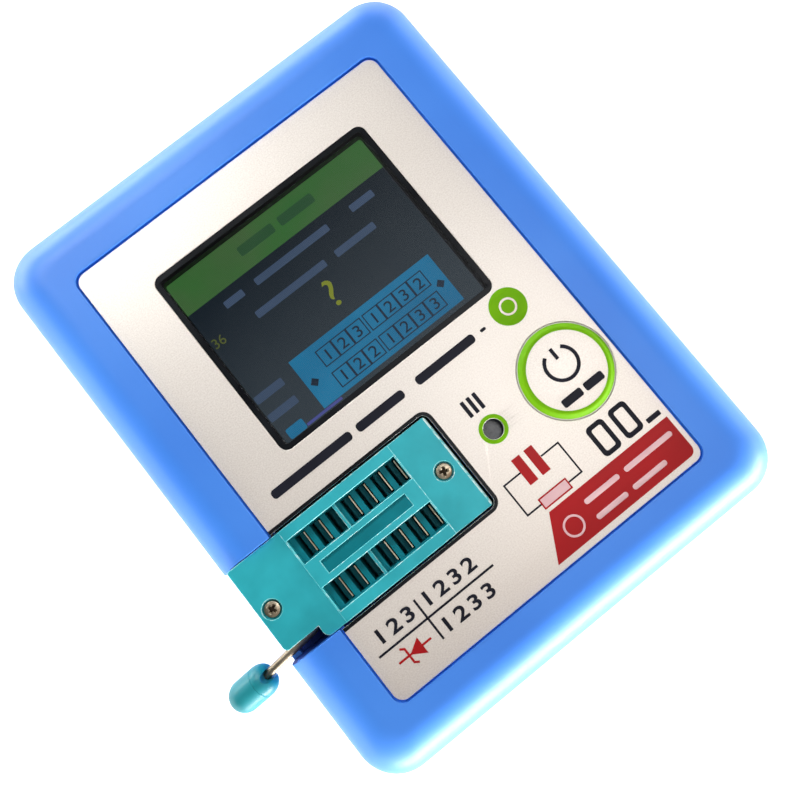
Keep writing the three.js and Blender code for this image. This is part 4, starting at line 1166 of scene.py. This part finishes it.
def cover_screws():
    screw = screw_mesh(1.15 * MM, 0.6 * MM, 0.65 * MM, 5.6 * MM)
    for (side, place), degrees in zip(SCREWS.items(), (28, -24)):
        node = f"socket_screw_{side}"
        own = copied(screw, move(place.x, place.y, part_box(node)[1].z) @ turn(degrees, "Z"))
        piece(shown(f"cover_screw_{side}", own, NICKEL, SLOT_PAINTED_SHADE), "case", "nickel", node)


def back_screws():
    screw = screw_mesh(2.1 * MM, 1.6 * MM, 1.1 * MM, 13 * MM)
    for index, place in enumerate(CASE_SCREWS, 1):
        node = f"case_screw_{index}"
        own = copied(screw, move(place.x, place.y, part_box(node)[0].z) @ turn(180, "X")
                     @ turn(chance.uniform(0, 90), "Z"))
        piece(shown(f"back_screw_{index}", own, STEEL, SLOT_PAINTED_SHADE), "case", "steel", node)


piece(socket_cover(), "case", "socket_teal", "socket_cover")
piece(socket_slider(), "slider", "socket_teal", "socket_slider")
contacts()
cover_screws()
piece(lever_rod(), "lever", "nickel", "lever_rod")
piece(lever_grip(), "lever", "socket_teal", "lever_handle")
back_screws()


# ---------------------------------------------------------------- materials of the CAD nodes that stay
STAYS = {
    BLACK: "lcd_panel microcontroller boost_inductor charge_chip ir_receiver switch_body switch_plunger",
    STEEL: "crystal usb_port board_screw_1 board_screw_2 board_screw_3 board_screw_4",
    WHITE: "lcd_backlight battery_connector", FOAM: "lcd_foam battery_tape", AMBER: "lcd_ribbon",
    # the socket's base, deep under the cover, takes the darker teal of painted shade
    LCD_GREY: "lcd_frame", BOARD: "circuit_board", SMOKE: "ir_window", TEAL_PAINTED_SHADE: "socket_base",
    FOIL: "battery_cell", RED_WIRE: "battery_lead_red", BLACK_WIRE: "battery_lead_black",
}
for material, nodes in STAYS.items():
    for node in nodes.split():
        for slot in frame["nodes"][node].material_slots:
            slot.material = material


# ---------------------------------------------------------------- floor, light and camera
BRIGHT_SIDE = (0.6, -0.8, 0)    # the overhead light grows towards this side
OVERHEAD = (0.04, 0.6)          # from its dimmest to its brightest
WARM, WARM_FROM = "b47c4e", (0.2, 0.36)    # the tint of that side, and where it comes in
BAND, HORIZON = (0.08, 0.35), 3.6    # heights between which the bright band fades, and its strength


def floor():
    half = 1.2
    mesh = mesh_of("floor", [(-half, -half, 0), (half, -half, 0), (half, half, 0), (-half, half, 0)],
                   [(0, 1, 2, 3)])
    mesh.transform(move(0, 0, lower_low.z - 0.1 * MM))
    finish = Finish("pale_floor", 0.7, Emission_Strength=0.8)
    shade = finish.blend(finish.noise(60, 3), "f4f4f3", "fafafa")
    for socket in ("Base Color", "Emission Color"):
        finish.links.new(shade, finish.shader.inputs[socket])
    shown("floor", mesh, finish.material)


def softbox(name, place, aim, size, power):
    light = bpy.data.lights.new(name, "AREA")
    light.shape = "RECTANGLE"
    light.size, light.size_y = size
    light.energy = power
    lamp = linked(name, light)
    lamp.location = place
    lamp.rotation_euler = (Vector(aim) - Vector(place)).to_track_quat("-Z", "Y").to_euler()


def camera():
    """Looks down on the panel from a hand's reach, turned so that the display end points up and left."""
    eye = Vector((panel_mid.x - 7.92 * MM, panel_mid.y - 14.37 * MM, PANEL_TOP + 105.96 * MM))
    aim = Vector((panel_mid.x - 1.29 * MM, panel_mid.y - 4.84 * MM, PANEL_TOP))
    heading = math.radians(38.55)
    ahead = (aim - eye).normalized()
    right = ahead.cross(Vector((math.sin(heading), math.cos(heading), 0))).normalized()
    data = bpy.data.cameras.new("camera")
    data.lens = 36
    data.sensor_width = 36
    data.clip_start = 0.005
    scene.camera = linked("camera", data)
    scene.camera.matrix_world = Matrix((right, right.cross(ahead), -ahead)).transposed().to_4x4()
    scene.camera.location = eye


def surroundings():
    """A white room: a bright band round the horizon, dimmer overhead, where one side is brighter and warm."""
    scene.world = bpy.data.worlds.new("studio")
    graph = Graph(scene.world)
    towards = graph.add("TexCoord").outputs["Generated"]
    height = graph.add("SeparateXYZ", Vector=towards).outputs["Z"]
    lean = graph.nodes.new("ShaderNodeVectorMath")
    lean.operation = "DOT_PRODUCT"
    graph.links.new(towards, lean.inputs[0])
    lean.inputs[1].default_value = BRIGHT_SIDE
    side = lean.outputs["Value"]
    strength = graph.remap(height, HORIZON, graph.remap(side, *OVERHEAD, -0.3, 0.25), *BAND)
    strength.node.interpolation_type = "SMOOTHSTEP"
    share = graph.remap(side, 0, graph.remap(height, 0, 1, BAND[1], 2 * BAND[1]), *WARM_FROM)
    background = graph.nodes["Background"]
    graph.feed(background.inputs["Color"], graph.mix(share, (1, 1, 1, 1), tone(WARM)))
    graph.feed(background.inputs["Strength"], strength)
    scene.view_settings.view_transform = "Standard"


floor()
softbox("key", (-0.05, 0.25, 0.27), (0, 0, 0.02), (0.2, 0.12), 0.62)
softbox("far_wall", (-0.08, 0.33, 0.05), (0, 0.03, 0.03), (0.5, 0.07), 0.65)
softbox("near_wall", (0.03, -0.32, 0.03), (0, -0.03, 0.03), (0.6, 0.06), 4.0)
softbox("overhead", (0.13, -0.02, 0.5), (0, 0, 0.03), (0.14, 0.14), 0.32)
surroundings()
camera()
